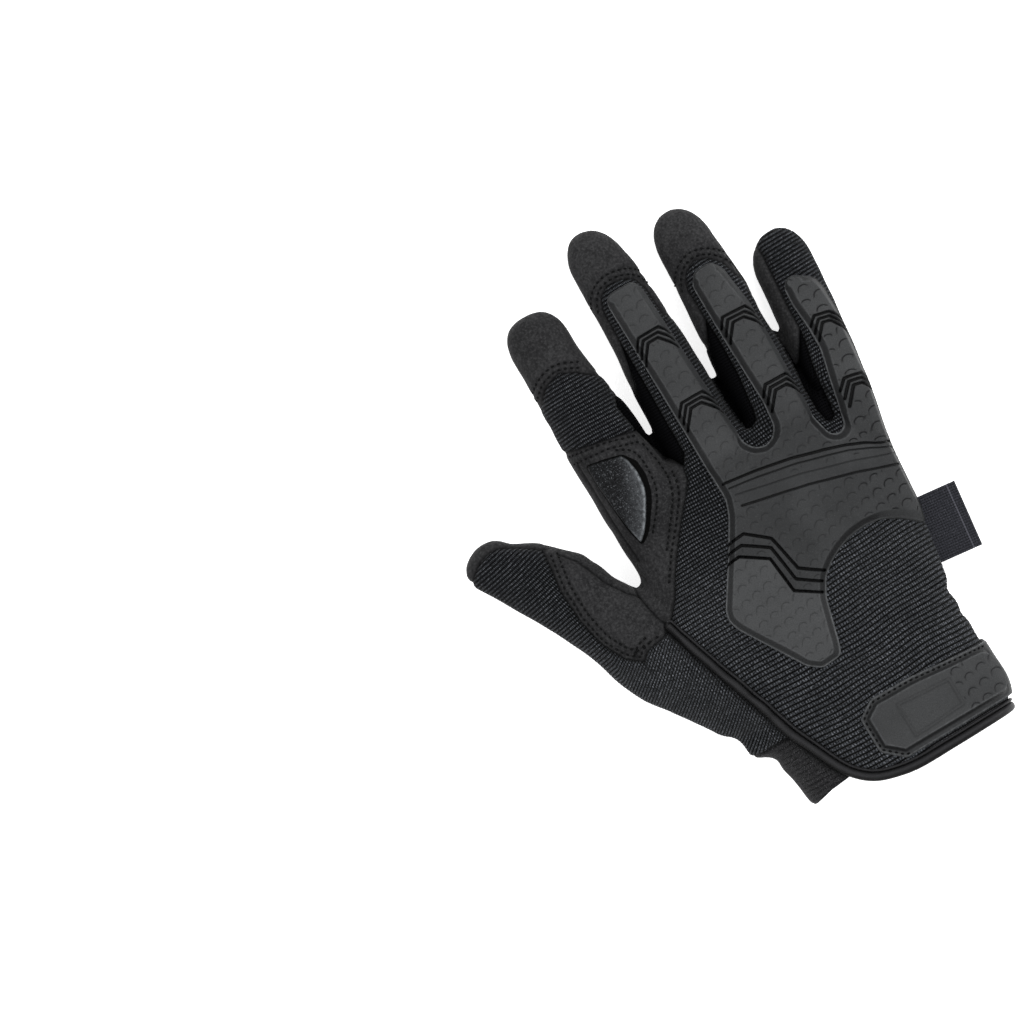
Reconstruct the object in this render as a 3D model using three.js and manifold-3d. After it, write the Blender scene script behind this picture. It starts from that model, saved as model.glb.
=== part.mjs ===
// Tactical work glove for the right hand, empty, lying palm down.
// Millimetres. +X points to the little finger, +Y to the fingertips and +Z out of the back of the hand.
// The cloth is a hollow shell of lofted fingers, thumb and hand, cut along its seams into separate panels.
// Patches, pads, the knuckle guard and the strap are layers that follow the shell a small gap above it.
import * as THREE from "three";
import { mergeVertices } from "three/addons/utils/BufferGeometryUtils.js";
import Module from "manifold-3d";

const wasm = await Module();
wasm.setup();

// Driving dimensions
const WALL = 1.8; // cloth with its lining
const GAP = 0.3; // between neighbouring pieces
const ROUNDNESS = 2.35; // power of the sections' ovals, where 2 is an ellipse
const TIP_ROUNDNESS = 2.3; // power of the fingertips' outline
const TIP_STEPS = [0.45, 0.76, 0.94]; // share of a tip's length at each ring
const MOUTH_RUN_OUT = 6; // how far the hollow runs past the cuff
const CUFF_END = -123; // lower edge of the back of the cuff
const HEM = -87; // where the palm and the thumb's gusset end and the wrist band begins
const BAND_END = -113; // lower edge of the wrist band
const PATCH_THICK = 1.2; // palm patch of pebbled grip material
const PAD_THICK = 2.2; // padded suede patches
const FLANGE_THICK = 1.1; // thin edge of the moulded guard and strap
const PLATE_THICK = 3.2; // raised plates of the knuckle guard
const STRAP_THICK = 2.6; // raised plate of the closure strap
const RIM = 2.8; // width of the thin edge round the guard's plates
const GROOVE_WIDE = 1.5; // flex grooves of the guard
const STRAP_RIM = 2.2; // width of the thin edge round the strap's plate
const BINDING = { thick: 1.9, wide: 4.8 }; // tape rolled over the open edges
const SEAM = 15; // height of the side seam over the hand
const GROUND = 1.2; // height up to which its own weight presses the glove flat, and which becomes z = 0
const CENTRE_X = -0.3; // middle of the whole glove, which becomes x = 0

// A limb is a loft along its own +Y, with a row for each section: left and right edges, the top of the back,
// the bottom of the palm and the height of the side seam, where the section is widest.
// lean tips a section forward at the palm, which makes the webs between the fingers slope.
const HAND = {
  sides: 24,
  rows: [
    { y: 33, left: -27, right: 56, top: 29.5, bottom: 9.5, seam: SEAM, lean: 0.7 },
    { y: 28, left: -32.5, right: 69, top: 31, bottom: 8, seam: SEAM, lean: 0.7 },
    { y: 19, left: -34, right: 79, top: 32.5, bottom: 6.8, seam: SEAM, lean: 0.5 },
    { y: 8, left: -34.3, right: 79.6, top: 34, bottom: 6, seam: SEAM, lean: 0.2 },
    { y: -4, left: -35.5, right: 77.3, top: 35, bottom: 5, seam: SEAM },
    { y: -28, left: -47, right: 73.6, top: 36, bottom: 3.2, seam: SEAM },
    { y: -41, left: -53, right: 72.4, top: 36, bottom: 2.9, seam: SEAM },
    { y: -52, left: -52, right: 71, top: 35.6, bottom: 2.7, seam: SEAM },
    { y: -62, left: -45.3, right: 68.2, top: 35.2, bottom: 3.4, seam: SEAM },
    { y: -70, left: -40, right: 65.8, top: 34.4, bottom: 4.4, seam: SEAM },
    { y: -88, left: -27.5, right: 65.8, top: 34.2, bottom: 3.6, seam: SEAM },
    { y: -113, left: -21.6, right: 66, top: 35.8, bottom: 3.4, seam: SEAM },
    { y: CUFF_END, left: -20, right: 63.5, top: 36.4, bottom: 3.4, seam: SEAM },
  ],
};
const INDEX = {
  sides: 12,
  rows: [
    { y: 5, left: -32, right: -3, top: 28, bottom: 9, seam: SEAM },
    { y: 20, left: -34.4, right: -1.5, top: 31.5, bottom: 6.6, seam: SEAM },
    { y: 48, left: -34.3, right: -4.2, top: 30, bottom: 8, seam: 14.6 },
    { y: 75, left: -33.8, right: -7.8, top: 25.4, bottom: 5.2, seam: 12.4 },
    { y: 88, left: -33.6, right: -8.6, top: 21.5, bottom: 1.4, seam: 10 },
  ],
  tip: { length: 18, x: -21.5, z: 7.6 },
};
const MIDDLE = {
  sides: 12,
  rows: [
    { y: 5, left: 3, right: 29, top: 29, bottom: 9, seam: SEAM },
    { y: 22, left: -0.4, right: 30.4, top: 32.5, bottom: 6.6, seam: SEAM },
    { y: 50, left: 0, right: 29.8, top: 31, bottom: 8.6, seam: SEAM },
    { y: 72, left: 1.9, right: 28.5, top: 28.5, bottom: 7.4, seam: 13.8 },
    { y: 88, left: 2.6, right: 27.9, top: 25, bottom: 3.9, seam: 11.8 },
    { y: 103, left: 3.2, right: 27.2, top: 20.4, bottom: 0.9, seam: 9.2 },
  ],
  tip: { length: 20, x: 13.8, z: 7.2 },
};
const RING = {
  sides: 12,
  rows: [
    { y: 0, left: 34, right: 57, top: 29, bottom: 9, seam: SEAM },
    { y: 20, left: 31.4, right: 59.6, top: 32, bottom: 6.8, seam: SEAM },
    { y: 49, left: 32, right: 59.8, top: 30.4, bottom: 8.4, seam: 14.8 },
    { y: 71, left: 35, right: 60.6, top: 26.7, bottom: 6.6, seam: 13.2 },
    { y: 84, left: 35.5, right: 60.2, top: 23.2, bottom: 3.2, seam: 11.2 },
    { y: 95, left: 36.4, right: 59.4, top: 19.8, bottom: 0.8, seam: 9.2 },
  ],
  tip: { length: 18, x: 47.8, z: 7.2 },
};
const LITTLE = {
  sides: 12,
  rows: [
    { y: -6, left: 60, right: 76, top: 27, bottom: 9, seam: SEAM },
    { y: 10, left: 61, right: 80.6, top: 30.4, bottom: 6.6, seam: SEAM },
    { y: 38, left: 61.6, right: 85, top: 27.4, bottom: 6.8, seam: 14.2 },
    { y: 50, left: 62.4, right: 86.2, top: 24.8, bottom: 4.6, seam: 12.8 },
    { y: 60, left: 63.6, right: 87, top: 21.8, bottom: 3.4, seam: 11 },
    { y: 70, left: 65, right: 87.4, top: 18.6, bottom: 0.9, seam: 8.8 },
  ],
  tip: { length: 15.5, x: 78, z: 6.8 },
};
const THUMB = {
  sides: 12,
  origin: { x: -46, y: -32 },
  turn: 30, // degrees away from the fingers
  rows: [
    { y: -20, left: -15, right: 30, top: 30, bottom: 6, seam: SEAM },
    { y: -8, left: -16.4, right: 28, top: 31, bottom: 4.6, seam: SEAM },
    { y: 5, left: -15, right: 24.5, top: 30.6, bottom: 3.6, seam: SEAM },
    { y: 18, left: -11.8, right: 21, top: 29, bottom: 3, seam: 14.6 },
    { y: 30, left: -10.8, right: 19.6, top: 27, bottom: 2.6, seam: 13.8 },
    { y: 42, left: -10, right: 20.2, top: 24.8, bottom: 2, seam: 12.4 },
    { y: 60, left: -10.2, right: 15.8, top: 19.8, bottom: 0.8, seam: 9.6 },
  ],
  tip: { length: 20, x: 0.4, z: 7.8 },
};
const LIMBS = [HAND, THUMB, INDEX, MIDDLE, RING, LITTLE];
const COARSE = 0.6; // share of the sides that the hollow's sections have
const BESIDE_HAND = 14; // how far the hand's seam surface runs out at its sides
const BESIDE_FINGER = 0.5;

// Solids and geometries
function toSolid(geometry) {
  const bare = new THREE.BufferGeometry().setAttribute("position", geometry.getAttribute("position"));
  bare.setIndex(geometry.index);
  const merged = mergeVertices(bare, 1e-4);
  const vertProperties = new Float32Array(merged.attributes.position.array);
  const triVerts = new Uint32Array(merged.index.array);
  return new wasm.Manifold(new wasm.Mesh({ numProp: 3, vertProperties, triVerts }));
}

function toGeometry(solid) {
  const mesh = solid.getMesh();
  const geometry = new THREE.BufferGeometry();
  geometry.setAttribute("position", new THREE.BufferAttribute(mesh.vertProperties, 3));
  geometry.setIndex(new THREE.BufferAttribute(mesh.triVerts, 1));
  geometry.computeVertexNormals();
  return geometry;
}

const joined = (solids) => solids.reduce((sum, solid) => sum.add(solid));
const largest = (solid) => solid.decompose().reduce((a, b) => (a.volume() > b.volume() ? a : b));

// Closes a stack of equal rings of points into one solid. The last end is pointed where an apex is given.
function loft(rings, apex) {
  const count = rings[0].length;
  const points = rings.flat();
  const centre = (ring) => ring.reduce((sum, p) => sum.add(p), new THREE.Vector3()).divideScalar(count);
  const faces = [];
  for (let start = 0; start + count < points.length; start += count) {
    for (let side = 0; side < count; side += 1) {
      const here = start + side;
      const next = start + ((side + 1) % count);
      faces.push(here, next, next + count, here, next + count, here + count);
    }
  }
  const top = points.length - count;
  const first = points.push(centre(rings[0])) - 1;
  const last = points.push(apex ?? centre(rings.at(-1))) - 1;
  for (let side = 0; side < count; side += 1) {
    const next = (side + 1) % count;
    faces.push(first, next, side, last, top + side, top + next);
  }
  const geometry = new THREE.BufferGeometry().setFromPoints(points);
  geometry.setIndex(faces);
  return geometry;
}

// The rows of a limb with those that round its tip, which are worked out from its last row.
function sections(limb, grow) {
  const rows = limb.rows.map((row) => ({ ...row, share: 1 }));
  if (!limb.tip) return rows;
  const last = rows.at(-1);
  const centre = (last.left + last.right) / 2;
  for (const step of TIP_STEPS) {
    const shift = step * (limb.tip.x - centre);
    const drop = step * (limb.tip.z - last.seam);
    rows.push({
      y: last.y + step * (limb.tip.length + grow),
      left: last.left + shift,
      right: last.right + shift,
      top: last.top + drop,
      bottom: last.bottom + drop,
      seam: last.seam + drop,
      share: (1 - step ** TIP_ROUNDNESS) ** (1 / TIP_ROUNDNESS),
    });
  }
  return rows;
}

function oval(row, grow, sides) {
  const wide = ((row.right - row.left) / 2 + grow) * row.share;
  const middle = (row.right + row.left) / 2;
  const up = (row.top - row.seam + grow) * row.share;
  const down = (row.seam - row.bottom + grow) * row.share;
  const bulge = (value) => Math.sign(value) * Math.abs(value) ** (2 / ROUNDNESS);
  return Array.from({ length: sides }, (_, side) => {
    const angle = -(side / sides) * 2 * Math.PI;
    const rise = bulge(Math.sin(angle)) * (Math.sin(angle) > 0 ? up : down);
    const x = middle + wide * bulge(Math.cos(angle));
    return new THREE.Vector3(x, row.y - (row.lean ?? 0) * rise, row.seam + rise);
  });
}

function placed(limb, geometry) {
  if (!limb.turn) return geometry;
  return geometry.rotateZ(THREE.MathUtils.degToRad(limb.turn)).translate(limb.origin.x, limb.origin.y, 0);
}

// One limb, swollen by grow, or shrunk where grow is negative. Its rows are taken from the wrist outwards.
function limbSolid(limb, grow, sides = limb.sides, runOut = 0) {
  const rows = sections(limb, grow);
  if (limb === HAND) {
    rows.reverse();
    rows[0].y -= runOut;
    rows.at(-1).y += grow;
  }
  const rings = rows.map((row) => oval(row, grow, sides));
  const reach = limb.rows.at(-1).y + (limb.tip?.length ?? 0) + grow;
  const apex = limb.tip && new THREE.Vector3(limb.tip.x, reach, limb.tip.z);
  return toSolid(placed(limb, loft(rings, apex)));
}

// Outlines are seen from above, and are closed shapes in X and Y.
const outline = (points) => new THREE.Shape(points.map(([x, y]) => new THREE.Vector2(x, y)));

// A closed smooth outline through a few points
function blob(points, steps) {
  const path = points.map(([x, y]) => new THREE.Vector3(x, y, 0));
  const curve = new THREE.CatmullRomCurve3(path, true, "centripetal");
  return outline(curve.getPoints(steps).slice(0, -1).map((p) => [p.x, p.y]));
}

// An outline given by its left and right edges at a few heights.
function strip(rows) {
  const left = rows.map((row) => [row.left, row.y]);
  const right = rows.map((row) => [row.right, row.y]).reverse();
  return outline([...left, ...right]);
}

// The outline moved inwards by a distance, or outwards where it is negative.
function inset(shape, distance) {
  const points = shape.getPoints();
  const turn = THREE.ShapeUtils.isClockWise(points) ? -1 : 1;
  return new THREE.Shape(
    points.map((p, i) => {
      const a = p.clone().sub(points.at(i - 1)).normalize();
      const b = points[(i + 1) % points.length].clone().sub(p).normalize();
      const normal = new THREE.Vector2(-a.y - b.y, a.x + b.x).normalize();
      const spread = Math.max(0.5, normal.dot(new THREE.Vector2(-a.y, a.x)));
      return p.clone().addScaledVector(normal, (turn * distance) / spread);
    }),
  );
}

// An open line of points made into an outline of a set width.
function ribbon(points, half) {
  const line = points.map(([x, y]) => new THREE.Vector2(x, y));
  const side = (sign) =>
    line.map((p, i) => {
      const along = line[Math.min(i + 1, line.length - 1)].clone().sub(line[Math.max(i - 1, 0)]).normalize();
      return p.clone().add(new THREE.Vector2(-along.y, along.x).multiplyScalar(sign * half));
    });
  return new THREE.Shape([...side(1), ...side(-1).reverse()]);
}

const LOW = -20;
const HIGH = 70;
function prism(shape, from = LOW, to = HIGH) {
  const geometry = new THREE.ExtrudeGeometry(shape, { depth: to - from, bevelEnabled: false });
  return toSolid(geometry.translate(0, 0, from));
}
const FIELD = outline([[-150, -180], [150, -180], [150, 180], [-150, 180]]);

// The glove's outside moved out by grow, pressed flat where it lies on the ground.
const gloveAt = new Map();
function glove(grow) {
  if (!gloveAt.has(grow)) {
    const whole = joined(LIMBS.map((limb) => limbSolid(limb, grow)));
    gloveAt.set(grow, whole.intersect(prism(FIELD, GROUND)));
  }
  return gloveAt.get(grow);
}
const layer = (from, to) => glove(to).subtract(glove(from));

function hollowOf(limb) {
  const sides = 2 * Math.round((limb.sides * COARSE) / 2);
  return limbSolid(limb, -WALL, sides, limb === HAND ? MOUTH_RUN_OUT : 0);
}
const hollow = joined(LIMBS.map(hollowOf)).intersect(prism(FIELD, GROUND + WALL));
const shell = glove(0).subtract(hollow);

// Everything under the side seams of all the limbs, with the seam moved up by a distance.
function underSeam(up) {
  return joined(
    LIMBS.map((limb) => {
      const rows = sections(limb, GAP);
      if (limb.tip) rows.push({ ...rows.at(-1), y: rows.at(-1).y + limb.tip.length });
      if (limb === HAND) {
        rows.reverse();
        rows[0].y -= MOUTH_RUN_OUT;
      }
      const beside = limb === HAND ? BESIDE_HAND : BESIDE_FINGER;
      const rings = rows.map((row) => {
        const left = row.left - beside;
        const right = row.right + beside;
        const top = row.seam + up;
        const corners = [[left, LOW], [left, top], [right, top], [right, LOW]];
        return corners.map(([x, z]) => new THREE.Vector3(x, row.y, z));
      });
      return toSolid(placed(limb, loft(rings)));
    }),
  );
}
const aboveSeam = prism(FIELD).subtract(underSeam(GAP / 2));
const belowSeam = underSeam(-GAP / 2);

// Cuts a panel from the shell by its outline on the back of the glove, its outline on the palm side, or both.
function panel({ back, palm }) {
  const over = back && prism(inset(back, GAP / 2));
  const under = palm && prism(inset(palm, GAP / 2));
  const parts = [];
  if (back) parts.push(over.intersect(aboveSeam));
  if (palm) parts.push(under.intersect(belowSeam));
  if (back && palm) parts.push(over.intersect(under));
  return largest(shell.intersect(joined(parts)));
}

// Seams on the back of the glove, each from its end at the hand
const CORNER = [-34, -26];
const GUSSET_EDGE = [CORNER, [-28, -42], [-23, -57], [-18.5, -71], [-12.6, -87], [-9, -95], [-4.5, -104.5]];
const CUFF_EDGE = [[1, -113], [8, -118], [20, -121.2]];
const INDEX_DIAGONAL = [CORNER, [-25.5, -17], [-21, -9], [-14.5, -4], [-7.5, 5.5], [-0.5, 16], [2, 25]];
const INDEX_RIGHT = [[-1.5, 31], [-3.2, 40], [-5, 47.5]];
const INDEX_KNIT_RIGHT = [[-6.2, 52], [-7.6, 60], [-9.3, 70.3]];
const INDEX_ARCH = [[-13.5, 77.5], [-20.5, 81], [-28, 79], [-33.5, 73.5], [-38, 71]];
const CROTCH_SEAM = [[-36.5, -20], [-37.8, -10], [-37.6, -5], [-38.5, 0], [-40, 8]];
const CROTCH_EDGE = [
  [-40, -29.5], [-50, -30.5], [-56, -26.5], [-61, -18], [-63.4, -6], [-63.6, 8], [-60.6, 24], [-60, 32],
];
const MIDDLE_LEFT = [[4.6, 29], [5.8, 45], [6, 62], [5.8, 84]];
const MIDDLE_ARCH = [[6.6, 93], [8.6, 98], [13.5, 100.6], [19.5, 100], [24.6, 97.5], [26.6, 92], [27.2, 80]];
const MIDDLE_RIGHT = [[29.2, 30], [28.8, 45], [28.2, 60]];
const WEB_MIDDLE_RING = [[31, 25.4], [33.2, 24.6], [35.4, 25.6]];
const RING_LEFT = [[36.6, 30], [38.2, 45], [38.6, 62], [38.6, 76]];
const RING_ARCH = [[39, 83], [41.3, 88.5], [47, 91.6], [53, 89.8], [57.6, 85], [59.2, 79]];
const RING_RIGHT = [[57.6, 17], [58.4, 40], [59.2, 60]];
const WEB_RING_LITTLE = [[59.6, 11.4], [61.4, 10.6], [63.4, 11.6]];
const LITTLE_LEFT = [[65.4, 17], [67.6, 30], [69.2, 46], [69.6, 58], [67.6, 66], [62.3, 70]];
const THUMB_SEAM = [
  [-92, 45.4], [-79, 23], [-70, 12], [-61.5, -5], [-54, -20.4], [-47, -35], [-39, -49], [-28, -62],
  [-17, -73.5], [-8, -81.5],
];
const THUMB_TIP_SEAM = [[-61.5, -5], [-46, 4]];
const INDEX_TIP_SEAM = 60;
const backwards = (points) => [...points].reverse();

const PANELS = {
  back_panel: {
    back: outline([
      ...INDEX_DIAGONAL, ...MIDDLE_LEFT, ...MIDDLE_ARCH, ...backwards(MIDDLE_RIGHT), ...WEB_MIDDLE_RING,
      ...RING_LEFT, ...RING_ARCH, ...backwards(RING_RIGHT), ...WEB_RING_LITTLE, ...LITTLE_LEFT,
      [62, 96], [100, 96], [100, -121.2], ...backwards(CUFF_EDGE), ...backwards(GUSSET_EDGE.slice(1)),
    ]),
  },
  index_side_panel: {
    back: outline([
      ...INDEX_DIAGONAL, ...INDEX_RIGHT, [-38, 50], [-42, 50], ...backwards(CROTCH_SEAM),
    ]),
  },
  index_back_knit: {
    back: outline([[-5, 47.5], ...INDEX_KNIT_RIGHT, ...INDEX_ARCH, [-42, 71], [-42, 50], [-38, 50]]),
  },
  index_cap: { back: outline([[-9.3, 70.3], ...INDEX_ARCH, [-45, 71], [-45, 115], [-3, 115], [-3, 72]]) },
  middle_cap: { back: outline([[-2, 81], [5.8, 84], ...MIDDLE_ARCH, [32, 79], [32, 130], [-2, 130]]) },
  ring_cap: { back: outline([[32, 75], [38.6, 76], ...RING_ARCH, [62.3, 79], [62.3, 120], [32, 120]]) },
  fourchette_index_middle: {
    back: outline([
      [2, 25], ...INDEX_RIGHT, ...INDEX_KNIT_RIGHT, [-3, 72], [-2, 81], ...backwards(MIDDLE_LEFT),
    ]),
  },
  fourchette_middle_ring: {
    back: outline([
      ...WEB_MIDDLE_RING, ...RING_LEFT, [32, 75], [32, 79], [27.2, 80], ...backwards(MIDDLE_RIGHT),
    ]),
  },
  fourchette_ring_little: {
    back: outline([
      ...WEB_RING_LITTLE, ...LITTLE_LEFT, [62.3, 79], [59.2, 79], ...backwards(RING_RIGHT),
    ]),
  },
  thumb_crotch_patch: { back: outline([CORNER, ...CROTCH_SEAM, [-42, 34], ...backwards(CROTCH_EDGE)]) },
  thumb_back: {
    back: outline([
      CORNER, ...CROTCH_EDGE, [-60, 60], [-110, 60], [-110, HEM], ...backwards(GUSSET_EDGE.slice(1, 5)),
    ]),
    palm: outline([...THUMB_SEAM, [-3, HEM], [-110, HEM], [-110, 45.4]]),
  },
  palm_panel: {
    palm: outline([
      ...THUMB_TIP_SEAM, [-41, 8], [-41, INDEX_TIP_SEAM], [-2.4, INDEX_TIP_SEAM], [-2.4, 140], [110, 140],
      [110, HEM], [-3, HEM], ...backwards(THUMB_SEAM.slice(4)),
    ]),
  },
  index_palm_tip: { palm: outline([[-45, INDEX_TIP_SEAM], [-2.4, INDEX_TIP_SEAM], [-2.4, 130], [-45, 130]]) },
  thumb_palm_tip: {
    palm: outline([...THUMB_TIP_SEAM, [-41, 8], [-41, 60], [-92, 60], ...THUMB_SEAM.slice(0, 3)]),
  },
  loop_band: {
    back: outline([[-100, HEM], ...GUSSET_EDGE.slice(4), CUFF_EDGE[0], [-100, BAND_END]]),
    palm: outline([[-100, HEM], [110, HEM], [110, BAND_END], [-100, BAND_END]]),
  },
};

// Layers that follow the glove from the gap up to a thickness
const overSeam = prism(FIELD, SEAM);
const wellUnderSeam = prism(FIELD, LOW, SEAM - 1);
const onBack = (cutter, thick, from = GAP) => layer(from, GAP + thick).intersect(cutter).intersect(overSeam);
const onPalm = (cutter, thick) => layer(GAP, GAP + thick).intersect(cutter).intersect(wellUnderSeam);
const IN_FLANGE = GAP + FLANGE_THICK / 2; // raised plates start inside their thin edge

// Palm patches. The grip patch has a rounded lobe on each finger.
const GRIP_BODY = [
  [-29, 10], [-20, 4], [0, 3.6], [16, 5.4], [26, 11.5], [40, 18], [54, 16.6], [68, 11], [76, 13],
  [79.4, 22], [80, 33], [60, 34], [36, 33], [8, 31], [-14, 31], [-30, 28], [-31, 18],
];
const GRIP_LOBES = [
  { left: -31, right: -9.4, foot: 24, top: 46 },
  { left: 4.4, right: 25, foot: 26, top: 48 },
  { left: 36, right: 56.4, foot: 28, top: 48 },
  { left: 65, right: 82.6, foot: 20, top: 49 },
];
const LOBE_CORNER = 5;
function gripLobe({ left, right, foot, top }) {
  return strip([
    { y: foot, left, right },
    { y: top - LOBE_CORNER, left, right },
    { y: top, left: left + LOBE_CORNER, right: right - LOBE_CORNER },
  ]);
}
const gripCutter = joined([blob(GRIP_BODY, 26), ...GRIP_LOBES.map(gripLobe)].map((shape) => prism(shape)));
const THENAR = [
  [-20, -2], [-14, 0.8], [10, 1.2], [20, 0.4], [26, -5], [33, -18], [41, -37], [43.6, -52], [41, -60],
  [30, -63], [20, -59.5], [4, -44.5], [-16, -28], [-22.5, -19],
];
const HYPOTHENAR = [
  [33, 9], [38, 13.4], [48, 12.4], [66, 5.6], [72, 0], [71.4, -20], [69, -44], [66.4, -54], [58, -56.6],
  [51.4, -53], [48.6, -40], [41, -18], [33, -4],
];

// Padded insert on the side of the index knuckle
const KNUCKLE_PAD = [
  [-30.5, 43], [-24, 43.4], [-17, 41.6], [-13, 35], [-13, 28], [-17, 20], [-24.4, 9], [-28, 7.4],
  [-29.6, 15], [-30.8, 30],
];

// Moulded knuckle guard: a body, a lower plate and a corner beside the arch over the wrist, and finger strips
const GUARD = {
  body: [
    { y: 17, left: 9.6, right: 81 },
    { y: 5, left: 9.4, right: 79 },
    { y: -5, left: 5, right: 76.4 },
    { y: -13, left: 0, right: 75.2 },
    { y: -30.5, left: -11.8, right: 73.4 },
  ],
  plate: [
    { y: -20, left: -4.7, right: 52 },
    { y: -30.5, left: -11.8, right: 46 },
    { y: -36, left: -13.5, right: 33 },
    { y: -44, left: -11, right: 25.6 },
    { y: -61, left: -0.8, right: 19.3 },
    { y: -70.6, left: 7.6, right: 16.8 },
  ],
  middle: [
    { y: 97, left: 12.5, right: 22 },
    { y: 93, left: 9.7, right: 24.5 },
    { y: 45, left: 9.6, right: 26 },
    { y: 4, left: 9.6, right: 30 },
  ],
  ring: [
    { y: 87.5, left: 45, right: 52 },
    { y: 83, left: 41, right: 55 },
    { y: 60, left: 40.5, right: 56.8 },
    { y: 4, left: 38, right: 57 },
  ],
  little: [
    { y: 66.5, left: 74, right: 80 },
    { y: 63, left: 70.8, right: 83 },
    { y: 45, left: 70.5, right: 84.6 },
    { y: 15, left: 67, right: 80.6 },
    { y: 2, left: 64, right: 78.4 },
  ],
};
const GUARD_CORNER = [
  { y: -29, left: 52, right: 73.6 },
  { y: -34, left: 65, right: 73 },
  { y: -41, left: 71, right: 72.4 },
];
// The body is cut down to these heights between the strips.
const GUARD_NOTCHES = [
  { left: 26, right: 42, foot: 15.5 },
  { left: 55, right: 69, foot: 5 },
];
const NOTCH_TOP = 30;
function notchPrism({ left, right, foot }, rim) {
  const wide = { left: left - rim, right: right + rim };
  return prism(strip([{ ...wide, y: NOTCH_TOP }, { ...wide, y: foot - rim }]));
}
function guardPrism(rim) {
  const { body, ...others } = GUARD;
  const notches = joined(GUARD_NOTCHES.map((notch) => notchPrism(notch, rim)));
  const rest = Object.values(others).map((rows) => prism(inset(strip(rows), rim)));
  return joined([prism(inset(strip(body), rim)).subtract(notches), ...rest]);
}

// Flex grooves: a chevron over each finger joint, a bent one above the lower plate and one across the knuckles
const CHEVRONS = [
  { x: 17.2, y: 73.5, half: 3.4, wide: 9, drop: 7 },
  { x: 17.8, y: 44, half: 3.6, wide: 10, drop: 7 },
  { x: 48.2, y: 64.5, half: 3.6, wide: 10, drop: 7 },
  { x: 48.4, y: 33.4, half: 3.6, wide: 10, drop: 7 },
  { x: 77.6, y: 47, half: 3, wide: 8.6, drop: 6 },
  { x: 75.4, y: 20, half: 3, wide: 8.6, drop: 6 },
];
const PLATE_GROOVE = [[-10, -16.4], [4.5, -16], [13.6, -22.4], [15.4, -37], [23.4, -43], [34, -43]];
const KNUCKLE_GROOVE = [[4, 12], [14, 10], [40, 6], [60, 0], [84, -12]];
function chevron({ x, y, half, wide, drop }) {
  return [[x - wide, y - drop], [x - half, y], [x + half, y], [x + wide, y - drop]];
}
const grooveLines = [...CHEVRONS.map(chevron), PLATE_GROOVE, KNUCKLE_GROOVE];
const grooves = joined(grooveLines.map((line) => prism(ribbon(line, GROOVE_WIDE / 2))));
const flange = guardPrism(0).add(prism(strip(GUARD_CORNER)));
const knuckleGuard = onBack(flange, FLANGE_THICK).add(
  onBack(guardPrism(RIM).subtract(grooves), PLATE_THICK, IN_FLANGE),
);

// Closure strap: sewn to the back of the cuff, it goes round the little finger's side onto the wrist band.
const STRAP_BACK = [
  [110, -92.6], [50, -92.2], [35, -90.6], [18, -90.2], [10.6, -95], [10.6, -110], [18.6, -117.2], [110, -117.2],
];
const STRAP_PALM = [[110, -92.6], [39, -89.4], [33, -95], [33, -105], [42, -112.6], [110, -117.2]];
const STRAP_SIDE = 50; // from here to the right the strap is all round the glove
const STRAP_PLATE_END = 64;
const strapBack = prism(outline(STRAP_BACK));
const strapPalm = prism(outline(STRAP_PALM));
const strapSide = strapBack.intersect(strapPalm).intersect(prism(strip([
  { y: HEM, left: STRAP_SIDE, right: 110 },
  { y: CUFF_END, left: STRAP_SIDE, right: 110 },
])));
const strapCutter = joined([
  strapBack.intersect(prism(FIELD, SEAM)),
  strapPalm.intersect(prism(FIELD, LOW, SEAM)),
  strapSide,
]);
const plateShape = outline(STRAP_BACK.map(([x, y]) => [Math.min(x, STRAP_PLATE_END), y]));
const wristStrap = layer(GAP, GAP + FLANGE_THICK).intersect(strapCutter).add(
  onBack(prism(inset(plateShape, STRAP_RIM)), STRAP_THICK, IN_FLANGE),
);

// Tape over the free edge of the back panel, down the slit and along the cuff's end
const TAPE_PATH = [...GUSSET_EDGE, ...CUFF_EDGE, [34, -121.4], [110, -121.4]];
const cuffBinding = onBack(prism(ribbon(TAPE_PATH, BINDING.wide / 2)), BINDING.thick);

// Woven label folded in two and sewn into the side seam
const LABEL = {
  x: 72.2, y: -32.6, // its upper corner on the seam
  left: -3, right: 18.2, high: 26.4,
  turn: -7, // degrees
  leaf: 0.7, // one of its two layers
  fold: 1.1, // between them
  drop: 2.4, // from the seam to the fold
};
function labelSolid() {
  const { left, right, high, x, y, turn, leaf, fold, drop } = LABEL;
  const outer = leaf + fold / 2;
  const inner = fold / 2;
  const tip = SEAM - drop;
  const profile = outline([
    [left, SEAM + outer], [right - outer, tip + outer], [right, tip], [right - outer, tip - outer],
    [left, SEAM - outer], [left, SEAM - inner], [right - outer, tip - inner], [right - leaf, tip],
    [right - outer, tip + inner], [left, SEAM + inner],
  ]);
  const geometry = new THREE.ExtrudeGeometry(profile, { depth: high, bevelEnabled: false });
  geometry.rotateX(Math.PI / 2).rotateZ(THREE.MathUtils.degToRad(turn)).translate(x, y, 0);
  return toSolid(geometry).subtract(glove(GAP));
}

const LAYERS = {
  grip_patch: onPalm(gripCutter, PATCH_THICK),
  thenar_pad: onPalm(prism(blob(THENAR, 24)), PAD_THICK),
  hypothenar_pad: onPalm(prism(blob(HYPOTHENAR, 22)), PAD_THICK),
  index_knuckle_pad: onBack(prism(blob(KNUCKLE_PAD, 18)), PAD_THICK),
  knuckle_guard: knuckleGuard,
  wrist_strap: wristStrap,
  cuff_binding: cuffBinding,
  side_label: labelSolid(),
};

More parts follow.
